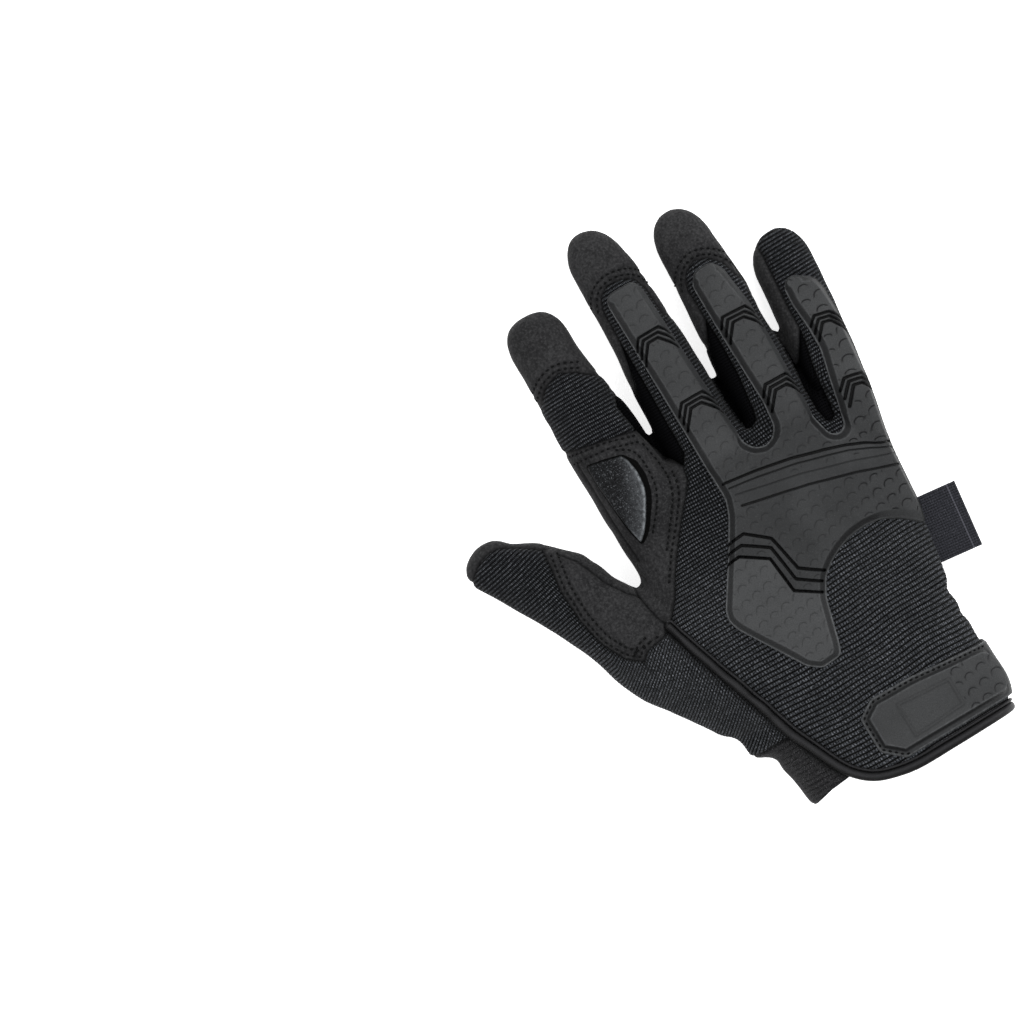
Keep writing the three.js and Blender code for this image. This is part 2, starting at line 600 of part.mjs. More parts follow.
// Colours and finishes
const KNIT = { color: 0x27282b, roughness: 0.95 };
const SUEDE = { color: 0x303132, roughness: 0.9 };
const MESH = { color: 0x111213, roughness: 0.95 };
const GRIP = { color: 0x4a4b4c, roughness: 0.6 };
const RUBBER = { color: 0x3e4041, roughness: 0.5 };
const SATIN = { color: 0x1b1c1e, roughness: 0.4 };
const WEBBING = { color: 0x2c2e30, roughness: 0.85 };
const WOVEN = { color: 0x464850, roughness: 0.7 };
const FINISHES = {
  back_panel: KNIT,
  index_side_panel: SUEDE,
  index_back_knit: KNIT,
  index_cap: SUEDE,
  middle_cap: SUEDE,
  ring_cap: SUEDE,
  fourchette_index_middle: MESH,
  fourchette_middle_ring: MESH,
  fourchette_ring_little: MESH,
  thumb_crotch_patch: SUEDE,
  thumb_back: KNIT,
  palm_panel: SUEDE,
  index_palm_tip: SUEDE,
  thumb_palm_tip: SUEDE,
  loop_band: WEBBING,
  grip_patch: GRIP,
  thenar_pad: SUEDE,
  hypothenar_pad: SUEDE,
  index_knuckle_pad: RUBBER,
  knuckle_guard: RUBBER,
  wrist_strap: RUBBER,
  cuff_binding: SATIN,
  side_label: WOVEN,
};

const tacticalGlove = new THREE.Group();
function put(name, solid) {
  const material = new THREE.MeshStandardMaterial({ ...FINISHES[name], metalness: 0 });
  const mesh = new THREE.Mesh(toGeometry(solid), material);
  mesh.name = name;
  mesh.position.set(-CENTRE_X, 0, -GROUND);
  tacticalGlove.add(mesh);
}
for (const [name, shapes] of Object.entries(PANELS)) put(name, panel(shapes));
for (const [name, solid] of Object.entries(LAYERS)) put(name, largest(solid));

export default tacticalGlove;
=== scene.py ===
"""The looks of the tactical glove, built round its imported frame.

Lengths are the drawing's millimetres until a mesh is made."""

import math
from collections import namedtuple

import bpy
import numpy as np
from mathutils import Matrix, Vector, noise
from mathutils.bvhtree import BVHTree


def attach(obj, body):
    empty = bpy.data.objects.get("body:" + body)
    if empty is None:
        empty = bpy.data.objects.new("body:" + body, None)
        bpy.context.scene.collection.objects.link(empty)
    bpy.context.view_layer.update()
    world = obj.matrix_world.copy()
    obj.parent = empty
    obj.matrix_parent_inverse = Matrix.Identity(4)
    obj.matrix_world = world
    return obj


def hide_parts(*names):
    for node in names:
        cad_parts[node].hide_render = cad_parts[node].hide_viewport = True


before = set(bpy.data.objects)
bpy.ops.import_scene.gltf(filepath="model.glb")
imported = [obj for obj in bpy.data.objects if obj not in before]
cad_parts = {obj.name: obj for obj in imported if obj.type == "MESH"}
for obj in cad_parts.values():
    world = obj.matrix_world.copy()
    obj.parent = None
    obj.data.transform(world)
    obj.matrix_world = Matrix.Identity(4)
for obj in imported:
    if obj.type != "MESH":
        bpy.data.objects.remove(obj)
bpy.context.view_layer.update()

# Driving dimensions, as in the part's source
MM = 0.001
ORIGIN = np.array([0.3, 0.0, -1.2])  # from the drawing's numbers to the part's frame
GROUND = 1.2  # height in the drawing that becomes the floor
WALL = 1.8  # cloth with its lining
SEAM = 15.0  # height of the side seam
HEM = -87.0  # where the palm and the thumb end and the loop band begins
CUFF_END = -123.0
ROUNDNESS = 2.35  # of the limbs' sections, where 2 is an ellipse
PATCH = 1.2
PAD = 2.2
FLANGE = 1.1  # thin edge of the guard and the strap
PLATE = 3.2  # the guard's raised plates
STRAP = 2.6  # the strap's raised plate
TAPE_WIDE = 4.8
TAPE_HIGH = 1.9

# What the dressed glove has on its own
BAND_END = -113.8  # lower edge of the loop band on the palm
SIDES_OUT = 0.4  # what relaxing draws the sides in
CLEAR = 0.02  # between neighbouring pieces
SEATED = 0.05  # the underside of a patch or a rubber part over the cloth
LAMPLIGHT = 1.45  # how brightly the stage is lit, where 1 is just enough to turn a white floor white

# How fine the meshes are
VOXEL = 1.3
COARSE = 2.0
FINE = 0.8
RING_STEP = 1.6
RING_SIDES = 72
TIP_STEPS = 16

# The limbs are lofts along y. A row is a section: its left and right edges, the top of the back, the bottom
# of the palm, the height of the side seam, and how far its underside leans forward. A tip is a limb's rounded
# end. They follow the part's source, and the sides of the hand, the thumb and the little finger are closer to
# the photo.
Row = namedtuple("Row", "y left right top bottom seam lean", defaults=(0.0,))
Tip = namedtuple("Tip", "length x z round")
HAND = [
    Row(33, -27, 56, 29.5, 9.5, SEAM, 0.7),
    Row(28, -32.5, 69, 31, 8, SEAM, 0.7),
    Row(19, -34, 79, 32.5, 6.8, SEAM, 0.5),
    Row(8, -34.3, 79.6, 34, 6, SEAM, 0.2),
    Row(-4, -34.3, 77.9, 35, 5, SEAM),
    Row(-28, -46.7, 74.1, 36, 3.2, SEAM),
    Row(-41, -52.6, 72.4, 36, 2.9, SEAM),
    Row(-52, -52, 71, 35.6, 2.7, SEAM),
    Row(-62, -45.7, 69.3, 35.2, 3.4, SEAM),
    Row(-70, -40.4, 67.2, 34.4, 4.4, SEAM),
    Row(-88, -27.9, 66.6, 34.2, 3.6, SEAM),
    Row(-100, -24, 66.8, 35, 3.4, SEAM),
    Row(-113, -22, 66.8, 35.8, 3.4, SEAM),
    Row(CUFF_END, -20, 63.5, 36.4, 3.4, SEAM),
    Row(CUFF_END - 6, -19.4, 62, 36.6, 3.4, SEAM),
]
INDEX = [
    Row(5, -32, -3, 28, 9, SEAM),
    Row(20, -34.4, -1.5, 31.5, 6.6, SEAM),
    Row(36, -34.4, -3.1, 30.8, 7.2, 14.8),
    Row(48, -34.3, -3.1, 30, 8, 14.6),
    Row(62, -34, -5, 28.5, 6.2, 13.8),
    Row(75, -33.8, -7.2, 25.4, 5.2, 12.4),
    Row(88, -33.2, -8.2, 21.5, 1.4, 10),
]
MIDDLE = [
    Row(5, 3, 29, 29, 9, SEAM),
    Row(22, -0.6, 30.4, 32.5, 6.6, SEAM),
    Row(36, -0.9, 30.3, 31.8, 7.6, SEAM),
    Row(50, 0, 29.8, 31, 8.6, SEAM),
    Row(62, 1, 29.2, 30, 6.8, 14.6),
    Row(72, 2.1, 28.9, 28.5, 7.4, 13.8),
    Row(88, 3, 28.4, 25, 3.9, 11.8),
    Row(103, 3.7, 27.6, 20.4, 0.9, 9.2),
]
RING = [
    Row(0, 34, 57, 29, 9, SEAM),
    Row(20, 31.4, 59.6, 32, 6.8, SEAM),
    Row(49, 32, 60.2, 30.4, 8.4, 14.8),
    Row(60, 33.8, 60, 28.9, 6.6, 14.2),
    Row(71, 35, 61, 26.7, 6.6, 13.2),
    Row(84, 35.8, 60.7, 23.2, 3.2, 11.2),
    Row(95, 36.8, 59.9, 19.8, 0.8, 9.2),
]
LITTLE = [
    Row(-6, 60, 76, 27, 9, SEAM),
    Row(10, 61, 80.6, 30.4, 6.6, SEAM),
    Row(38, 60.8, 85.5, 27.4, 6.8, 14.2),
    Row(45, 61.9, 86.3, 26, 5.6, 13.5),
    Row(52, 63, 87.1, 24.3, 4.4, 12.5),
    Row(60, 64, 87.8, 21.8, 3.4, 11),
    Row(70, 65.5, 88.2, 18.6, 0.9, 8.8),
]
THUMB = [
    Row(-20, -15, 30, 30, 6, SEAM),
    Row(-8, -16.4, 28, 31, 4.6, SEAM),
    Row(5, -15.5, 24.5, 30.6, 3.6, SEAM),
    Row(18, -12.4, 20.6, 29, 3, 14.6),
    Row(29, -11.3, 19.4, 27.2, 2.6, 13.9),
    Row(37, -10.8, 21.2, 25.8, 2.2, 13),
    Row(44, -10.4, 21.1, 24.4, 1.9, 12.2),
    Row(52, -10.1, 19.2, 22.2, 1.3, 10.9),
    Row(60, -10, 16.6, 20, 0.8, 9.7),
    Row(70, -10, 10.8, 17.2, 0.7, 8.6),
]
THUMB_AT = np.array([-46.0, -32.0])
THUMB_TURN = math.radians(30)
THUMB_AXES = np.array([
    [math.cos(THUMB_TURN), -math.sin(THUMB_TURN)],
    [math.sin(THUMB_TURN), math.cos(THUMB_TURN)],
])
LIMBS = {
    "hand": (HAND, None),
    "index": (INDEX, Tip(18.9, -20.9, 7.6, 2.9)),
    "middle": (MIDDLE, Tip(20.9, 14.2, 7.2, 2.2)),
    "ring": (RING, Tip(18.8, 47.9, 7.2, 2.2)),
    "little": (LITTLE, Tip(16.3, 78.3, 6.8, 2.3)),
    "thumb": (THUMB, Tip(9.9, -1.1, 7.8, 2.1)),
}


def linked(name, data):
    """A new object in the scene."""
    made = bpy.data.objects.new(name, data)
    bpy.context.collection.objects.link(made)
    return made


# The camera looks straight down, turned as the photograph is
def camera():
    lens, sensor, frame_wide = 300.0, 36.0, 0.3994
    data = bpy.data.cameras.new("camera")
    data.lens = lens
    data.sensor_width = sensor
    data.clip_end = 100
    made = linked("camera", data)
    made.location = (-0.0635, 0.0438, 0.02 + frame_wide * lens / sensor)
    made.rotation_euler = (0, 0, math.radians(-31))
    bpy.context.scene.camera = made
    bpy.context.scene.view_settings.view_transform = "Standard"


camera()


# Curves and outlines seen from above
def spline(at, values, y):
    """A smooth curve through the values at rising places, read at y."""
    at, values = np.asarray(at, float), np.asarray(values, float)
    slope = np.gradient(values, at)
    i = np.clip(np.searchsorted(at, y) - 1, 0, len(at) - 2)
    span = at[i + 1] - at[i]
    t = np.clip((y - at[i]) / span, 0, 1)
    rise = t * t * (3 - 2 * t)
    start = t * (1 - t) ** 2 * span * slope[i]
    end = t * t * (1 - t) * span * slope[i + 1]
    return values[i] + (values[i + 1] - values[i]) * rise + start - end


def lengths_at(line):
    """How far along the line each of its points lies."""
    return np.concatenate([[0], np.cumsum(np.linalg.norm(np.diff(line, axis=0), axis=1))])


def smooth_loop(points, step=1.5):
    """A closed line through the points as a soft curve."""
    points = np.array([*points[-2:], *points, *points[:2]], float)
    at = lengths_at(points)
    places = np.linspace(at[2], at[-2], int(math.ceil((at[-2] - at[2]) / step)) + 1)
    return np.column_stack([spline(at, points[:, k], places) for k in (0, 1)])[:-1]


def segments(line, closed):
    a = np.asarray(line, float)
    return (a, np.roll(a, -1, axis=0)) if closed else (a[:-1], a[1:])


FAR = 12.0  # beyond this distance from a line, its exact distance has no use


def distance(points, line, closed=False):
    """Distance of each point to a line, seen from above, and at most FAR."""
    starts, ends = segments(line, closed)
    low = np.minimum(starts.min(axis=0), ends.min(axis=0)) - FAR
    high = np.maximum(starts.max(axis=0), ends.max(axis=0)) + FAR
    near = np.flatnonzero(((points[:, :2] > low) & (points[:, :2] < high)).all(axis=1))
    x, y = points[near, 0], points[near, 1]
    best = np.full(len(near), FAR * FAR)
    for (ax, ay), (bx, by) in zip(starts, ends):
        dx, dy = bx - ax, by - ay
        t = np.clip(((x - ax) * dx + (y - ay) * dy) / max(dx * dx + dy * dy, 1e-12), 0, 1)
        best = np.minimum(best, (x - ax - t * dx) ** 2 + (y - ay - t * dy) ** 2)
    out = np.full(len(points), FAR)
    out[near] = np.sqrt(best)
    return out


def along_line(points, line):
    """Distance along the line and signed distance to its left for each point."""
    points = points[:, :2]
    best = np.full(len(points), 1e9)
    along, across = np.zeros(len(points)), np.zeros(len(points))
    start = 0.0
    for a, b in zip(*segments(line, False)):
        length = np.linalg.norm(b - a)
        ahead = (b - a) / length
        t = np.clip((points - a) @ ahead, 0, length)
        gap = points - a - t[:, None] * ahead
        near = np.einsum("ij,ij->i", gap, gap)
        side = np.sign(ahead[0] * gap[:, 1] - ahead[1] * gap[:, 0])
        closer = near < best
        best = np.where(closer, near, best)
        along = np.where(closer, start + t, along)
        across = np.where(closer, side * np.sqrt(near), across)
        start += length
    return along, across


def signed(points, shape):
    """Distance to a closed outline, negative inside it."""
    inside = np.zeros(len(points), bool)
    x, y = points[:, 0], points[:, 1]
    for a, b in zip(*segments(shape, True)):
        crosses = (a[1] > y) != (b[1] > y)
        if a[1] != b[1]:
            inside ^= crosses & (x < a[0] + (y - a[1]) * (b[0] - a[0]) / (b[1] - a[1]))
    gap = distance(points, shape, True)
    return np.where(inside, -gap, gap)


def ramp(x, low, high):
    """From 0 at low to 1 at high, with soft ends."""
    t = np.clip((x - low) / (high - low), 0, 1)
    return t * t * (3 - 2 * t)


def bell(x, width):
    """1 where x is 0, fading to both sides over about the width."""
    return np.exp(-((x / width) ** 2))


def quarter_round(t):
    """From 0 at 0 to 1 at 1, as a quarter circle."""
    return np.sqrt(1 - (1 - np.clip(t, 0, 1)) ** 2)


# Meshes are arrays: each vertex is a row of position and normal, each face a row of three numbers.
def unit(v):
    return v / np.maximum(np.linalg.norm(v, axis=1), 1e-12)[:, None]


def normals_of(points, faces):
    a, b, c = points[faces[:, 0]], points[faces[:, 1]], points[faces[:, 2]]
    flat = np.cross(b - a, c - a)
    out = np.zeros_like(points)
    for k in range(3):
        for axis in range(3):
            out[:, axis] += np.bincount(faces[:, k], weights=flat[:, axis], minlength=len(points))
    return unit(out)


def edges_of(faces, count):
    """Each face's edges as numbers in a list of edges, that list, and how many faces each of them has."""
    pairs = np.sort(faces[:, [[0, 1], [1, 2], [2, 0]]].reshape(-1, 2), axis=1)
    keys = pairs[:, 0].astype(np.int64) * count + pairs[:, 1]
    _, first, back, times = np.unique(keys, return_index=True, return_inverse=True, return_counts=True)
    return back.reshape(-1, 3), pairs[first], times


def split_faces(faces, middles):
    """Splits each face at the middles of its edges, where -1 is an edge left whole."""
    cut = middles >= 0
    times = cut.sum(axis=1)
    out = [faces[times == 0]]
    for number, lead in ((1, (True, False, False)), (2, (True, True, False)), (3, (True, True, True))):
        for turn in range(3 if number < 3 else 1):
            rows = (times == number) & (np.roll(cut, -turn, axis=1) == lead).all(axis=1)
            a, b, c = np.roll(faces[rows], -turn, axis=1).T
            ab, bc, ca = np.roll(middles[rows], -turn, axis=1).T
            made = {
                1: [(a, ab, c), (ab, b, c)],
                2: [(ab, b, bc), (a, ab, bc), (a, bc, c)],
                3: [(a, ab, ca), (ab, b, bc), (ca, bc, c), (ab, bc, ca)],
            }[number]
            out += [np.column_stack(f) for f in made]
    return np.vstack(out)


def refine(verts, faces, finest, rounds=5):
    """Splits edges between outer vertices until none is longer than finest says at its ends."""
    size = finest(verts)
    for _ in range(rounds):
        back, edges, _ = edges_of(faces, len(verts))
        outer = verts[edges, 7].min(axis=1) > 0.99
        gap = np.linalg.norm(verts[edges[:, 0], :3] - verts[edges[:, 1], :3], axis=1)
        long = outer & (gap > size[edges].min(axis=1))
        if not long.any():
            break
        number = np.full(len(edges), -1)
        number[long] = len(verts) + np.arange(long.sum())
        added = verts[edges[long]].mean(axis=1)
        verts = np.vstack([verts, added])
        size = np.append(size, finest(added))
        faces = split_faces(faces, number[back])
    return verts, faces


def score(verts, faces, value, levels, sliver, rounds=3):
    """Adds vertices where a value passes a level, so that the relief can bend sharply there."""
    levels = np.sort(levels)
    for _ in range(rounds):
        back, edges, _ = edges_of(faces, len(verts))
        ends = value[edges]
        first = np.searchsorted(levels, ends.min(axis=1) + sliver)
        last = np.searchsorted(levels, ends.max(axis=1) - sliver) - 1
        crossed = (verts[edges, 7].min(axis=1) > 0.99) & (first <= last) & np.isfinite(ends).all(axis=1)
        if not crossed.any():
            break
        level = levels[(first + last)[crossed] // 2]
        a, b = ends[crossed].T
        t = ((level - a) / (b - a))[:, None]
        number = np.full(len(edges), -1)
        number[crossed] = len(verts) + np.arange(crossed.sum())
        verts = np.vstack([verts, verts[edges[crossed, 0]] * (1 - t) + verts[edges[crossed, 1]] * t])
        value = np.append(value, level)
        faces = split_faces(faces, number[back])
    return verts, faces


def clip(verts, faces, field):
    """Keeps what lies where the field is negative, cutting the faces on its border."""
    field = np.where(np.abs(field) < 1e-3, -1e-3, field)
    faces = faces[(field[faces] < 0).any(axis=1)]
    back, edges, _ = edges_of(faces, len(verts))
    fa, fb = field[edges[:, 0]], field[edges[:, 1]]
    crossed = (fa < 0) != (fb < 0)
    t = (fa / np.where(crossed, fa - fb, 1))[crossed][:, None]
    cuts = verts[edges[crossed, 0]] * (1 - t) + verts[edges[crossed, 1]] * t
    number = np.full(len(edges), -1)
    number[crossed] = len(verts) + np.arange(crossed.sum())
    verts = np.vstack([verts, cuts])
    inside = field[faces] < 0
    middles = number[back]
    out = [faces[inside.all(axis=1)]]
    for lead in ((True, False, False), (True, True, False)):
        for turn in range(3):
            rows = (np.roll(inside, -turn, axis=1) == lead).all(axis=1)
            a, b, _ = np.roll(faces[rows], -turn, axis=1).T
            ab, bc, ca = np.roll(middles[rows], -turn, axis=1).T
            if lead[1]:
                out += [np.column_stack((a, b, bc)), np.column_stack((a, bc, ca))]
            else:
                out.append(np.column_stack((a, ab, ca)))
    return tidy(verts, np.vstack(out))


def tidy(verts, faces):
    used, back = np.unique(faces, return_inverse=True)
    return verts[used], back.reshape(-1, 3)


def biggest(verts, faces):
    """The largest connected part of a mesh."""
    label = np.arange(len(verts))
    while True:
        low = label[faces].min(axis=1)
        new = label.copy()
        for k in range(3):
            np.minimum.at(new, faces[:, k], low)
        new = new[new]
        if (new == label).all():
            break
        label = new
    names, counts = np.unique(label[faces[:, 0]], return_counts=True)
    return tidy(verts, faces[label[faces[:, 0]] == names[counts.argmax()]])


# The glove's bare surface: the limbs' lofts joined and remeshed
def bulge(value):
    return np.sign(value) * np.abs(value) ** (2 / ROUNDNESS)


def edges_at(rows, y):
    """The rows' numbers at heights between them, one column for each."""
    rows = sorted(rows, key=lambda row: row.y)
    table = np.array(rows, float)
    return np.column_stack([spline(table[:, 0], table[:, k], y) for k in range(1, 7)])


def limb_mesh(rows, tip):
    low, high = min(row.y for row in rows), max(row.y for row in rows)
    y = np.linspace(low, high, int((high - low) / RING_STEP) + 2)
    values = edges_at(rows, y)
    share = np.ones(len(y))
    if tip:
        step = np.sin(np.linspace(0, math.pi / 2, TIP_STEPS)[1:-1])
        more = np.repeat(values[-1:], len(step), axis=0)
        centre = values[-1, :2].mean()
        more[:, :2] += (step * (tip.x - centre))[:, None]
        more[:, 2:5] += (step * (tip.z - values[-1, 4]))[:, None]
        values = np.vstack([values, more])
        y = np.append(y, high + step * tip.length)
        share = np.append(share, (1 - step**tip.round) ** (1 / tip.round))
    left, right, top, bottom, seam, lean = values.T
    angle = np.arange(RING_SIDES) / RING_SIDES * 2 * math.pi
    reach = np.where(np.sin(angle) > 0, (top - seam)[:, None], (seam - bottom)[:, None])
    rise = bulge(np.sin(angle)) * reach * share[:, None]
    x = ((left + right) / 2)[:, None] + ((right - left) / 2 * share)[:, None] * bulge(np.cos(angle))
    points = np.dstack([x, y[:, None] - lean[:, None] * rise, seam[:, None] + rise])
    ends = [points[0].mean(axis=0), [tip.x, high + tip.length, tip.z] if tip else points[-1].mean(axis=0)]
    number = np.arange(points[..., 0].size).reshape(len(y), RING_SIDES)
    following = np.roll(number, -1, axis=1)
    a, b, c, d = number[:-1], following[:-1], following[1:], number[1:]
    first, last = number.size, number.size + 1
    faces = np.vstack(
        [
            np.stack([a, c, b], axis=-1).reshape(-1, 3),
            np.stack([a, d, c], axis=-1).reshape(-1, 3),
            np.column_stack([np.full(RING_SIDES, first), number[0], following[0]]),
            np.column_stack([np.full(RING_SIDES, last), following[-1], number[-1]]),
        ]
    )
    return np.vstack([points.reshape(-1, 3), ends]), faces[:, ::-1]


def thumb_to_world(points):
    return np.column_stack([points[:, :2] @ THUMB_AXES.T + THUMB_AT, points[:, 2]])


def world_to_thumb(points):
    return (points[:, :2] - THUMB_AT) @ THUMB_AXES


def arrays(mesh):
    """Vertices in the drawing's millimetres and triangles of a mesh."""
    points = np.empty(len(mesh.vertices) * 3)
    mesh.vertices.foreach_get("co", points)
    mesh.calc_loop_triangles()
    faces = np.empty(len(mesh.loop_triangles) * 3, np.int64)
    mesh.loop_triangles.foreach_get("vertices", faces)
    return points.reshape(-1, 3) / MM - ORIGIN, faces.reshape(-1, 3)


def bare_mesh(name, points, faces):
    mesh = bpy.data.meshes.new(name)
    mesh.vertices.add(len(points))
    mesh.vertices.foreach_set("co", ((points + ORIGIN) * MM).ravel())
    mesh.loops.add(faces.size)
    mesh.loops.foreach_set("vertex_index", faces.ravel())
    mesh.polygons.add(len(faces))
    mesh.polygons.foreach_set("loop_start", np.arange(0, faces.size, 3))
    mesh.update(calc_edges=True)
    return mesh


def evaluated(thing):
    """A new mesh of what the object's modifiers make."""
    graph = bpy.context.evaluated_depsgraph_get()
    return bpy.data.meshes.new_from_object(thing.evaluated_get(graph))


DRAW_IN, PUSH_OUT = 0.55, -0.57


def relax(points, faces, rounds):
    """Smooths away the voxels' steps: each turn of drawing in is followed by one of pushing out."""
    _, edges, _ = edges_of(faces, len(points))
    count = np.bincount(edges.ravel(), minlength=len(points))[:, None]
    for turn in range(2 * rounds):
        total = np.zeros_like(points)
        for axis in range(3):
            for here, there in ((0, 1), (1, 0)):
                weights = points[edges[:, there], axis]
                total[:, axis] += np.bincount(edges[:, here], weights=weights, minlength=len(points))
        points = points + (PUSH_OUT if turn % 2 else DRAW_IN) * (total / count - points)
    return points


def bare_glove():
    points, faces = [], []
    for name, (rows, tip) in LIMBS.items():
        made, sides = limb_mesh(rows, tip)
        if name == "thumb":
            made = thumb_to_world(made)
        faces.append(sides + sum(len(p) for p in points))
        points.append(made)
    thing = linked("bare", bare_mesh("bare", np.vstack(points), np.vstack(faces)))
    remesh = thing.modifiers.new("remesh", "REMESH")
    remesh.mode = "VOXEL"
    remesh.voxel_size = VOXEL * MM
    points, faces = arrays(evaluated(thing))
    bpy.data.objects.remove(thing)
    return relax(points, faces, 6), faces


# Seams and outlines. They follow the part's source, with CROTCH_EDGE, THUMB_SEAM, WRAPS, BAND_SLANT, TAPE and
# the guard's right side closer to the photo.
CORNER = (-34, -26)
GUSSET_EDGE = [CORNER, (-28, -42), (-23, -57), (-18.5, -71), (-12.6, -87), (-9, -95), (-4.5, -104.5)]
CUFF_EDGE = [(0.6, -113.4), (8, -119), (20, -121.4)]
INDEX_DIAGONAL = [
    CORNER, (-27, -17.5), (-22.4, -10), (-18.2, -4.2), (-13, 2.6), (-8.3, 8.1), (-2.4, 14.8), (1.2, 19.5),
    (2.2, 25),
]
INDEX_RIGHT = [(-1.5, 31), (-3.2, 40), (-5, 46.2)]
INDEX_KNIT_RIGHT = [(-6, 52), (-6.9, 58), (-4.8, 63)]
INDEX_ARCH = [(-13.5, 77.5), (-20.5, 81), (-28, 79), (-33.5, 73.5), (-38, 71)]
CROTCH_SEAM = [(-36.5, -20), (-37.8, -10), (-37.6, -5), (-38.5, 0), (-40, 8)]
CROTCH_EDGE = [
    (-38.4, -28.4), (-45.6, -29.5), (-47.7, -30.6), (-49.7, -33.1), (-56, -28), (-61, -18.4), (-63.4, -6),
    (-63.6, 8), (-61.6, 20), (-60, 32),
]
MIDDLE_LEFT = [(4.9, 29), (5.3, 45), (5.7, 62), (5.8, 80), (6.2, 88)]
MIDDLE_SUEDE = [(-1.6, 60), (1.6, 61.5), (3.8, 70)]
MIDDLE_ARCH = [(6.6, 93), (8.6, 98), (13.5, 100.6), (19.5, 100), (24.6, 97.5), (26.6, 92), (27.2, 80)]
MIDDLE_RIGHT = [(30.8, 29), (30.4, 38), (30.7, 46), (31.4, 54), (31.4, 76)]
WEB_MIDDLE_RING = [(31, 25.4), (33.2, 24.6), (35.4, 25.6)]
RING_LEFT = [(36.8, 30), (38.8, 45), (39.4, 60), (39, 70), (39, 78)]
RING_SUEDE = [(31.4, 59), (34.2, 60.5), (36.8, 65)]
RING_ARCH = [(39, 83), (41.3, 88.5), (47, 91.6), (53, 89.8), (57.6, 85), (59.2, 79)]
RING_RIGHT = [(58.6, 17), (59.4, 25), (60.4, 34), (60.8, 43), (61.3, 50), (61.3, 77)]
WEB_RING_LITTLE = [(59.6, 11.4), (61.4, 10.6), (63.4, 11.6)]
LITTLE_LEFT = [(63.6, 17), (64.2, 25), (65.6, 33), (68.1, 42), (69, 48)]
LITTLE_SUEDE = [(60.8, 36), (65, 42), (69, 48)]
THUMB_SEAM = [
    (-97, 29.4), (-79, 23), (-70, 12), (-61.5, -5), (-54, -20.4), (-47, -35), (-39, -49), (-28, -62),
    (-17, -73.5), (-8, -81.5),
]
THUMB_TIP_SEAM = [(-61.5, -5), (-46, 4)]
INDEX_TIP_SEAM = 60
# Where the palm's suede comes up over the side of the little finger and of the thumb
WRAPS = [
    [
        *LITTLE_SUEDE, (69.2, 56.7), (70, 63.8), (70.5, 70.4), (70.9, 74.8), (71.6, 80), (71, 85), (61.3, 85),
        (61.3, 50),
    ],
    [
        (-58.4, 24.8), (-61.1, 25.6), (-67.9, 30.8), (-75.2, 34.7), (-79.9, 35.1), (-85.1, 33.6),
        (-89.1, 30.7), (-91.8, 28.1), (-100, 24), (-95, 45), (-58, 45),
    ],
]
# The loop band's end on the thumb's side, and where that line goes on past the glove
BAND_SLANT = [(-0.8, -111), (-5.4, -112.1), (-13.5, -113.1), (-21, -115.2), (-100, -115.2)]
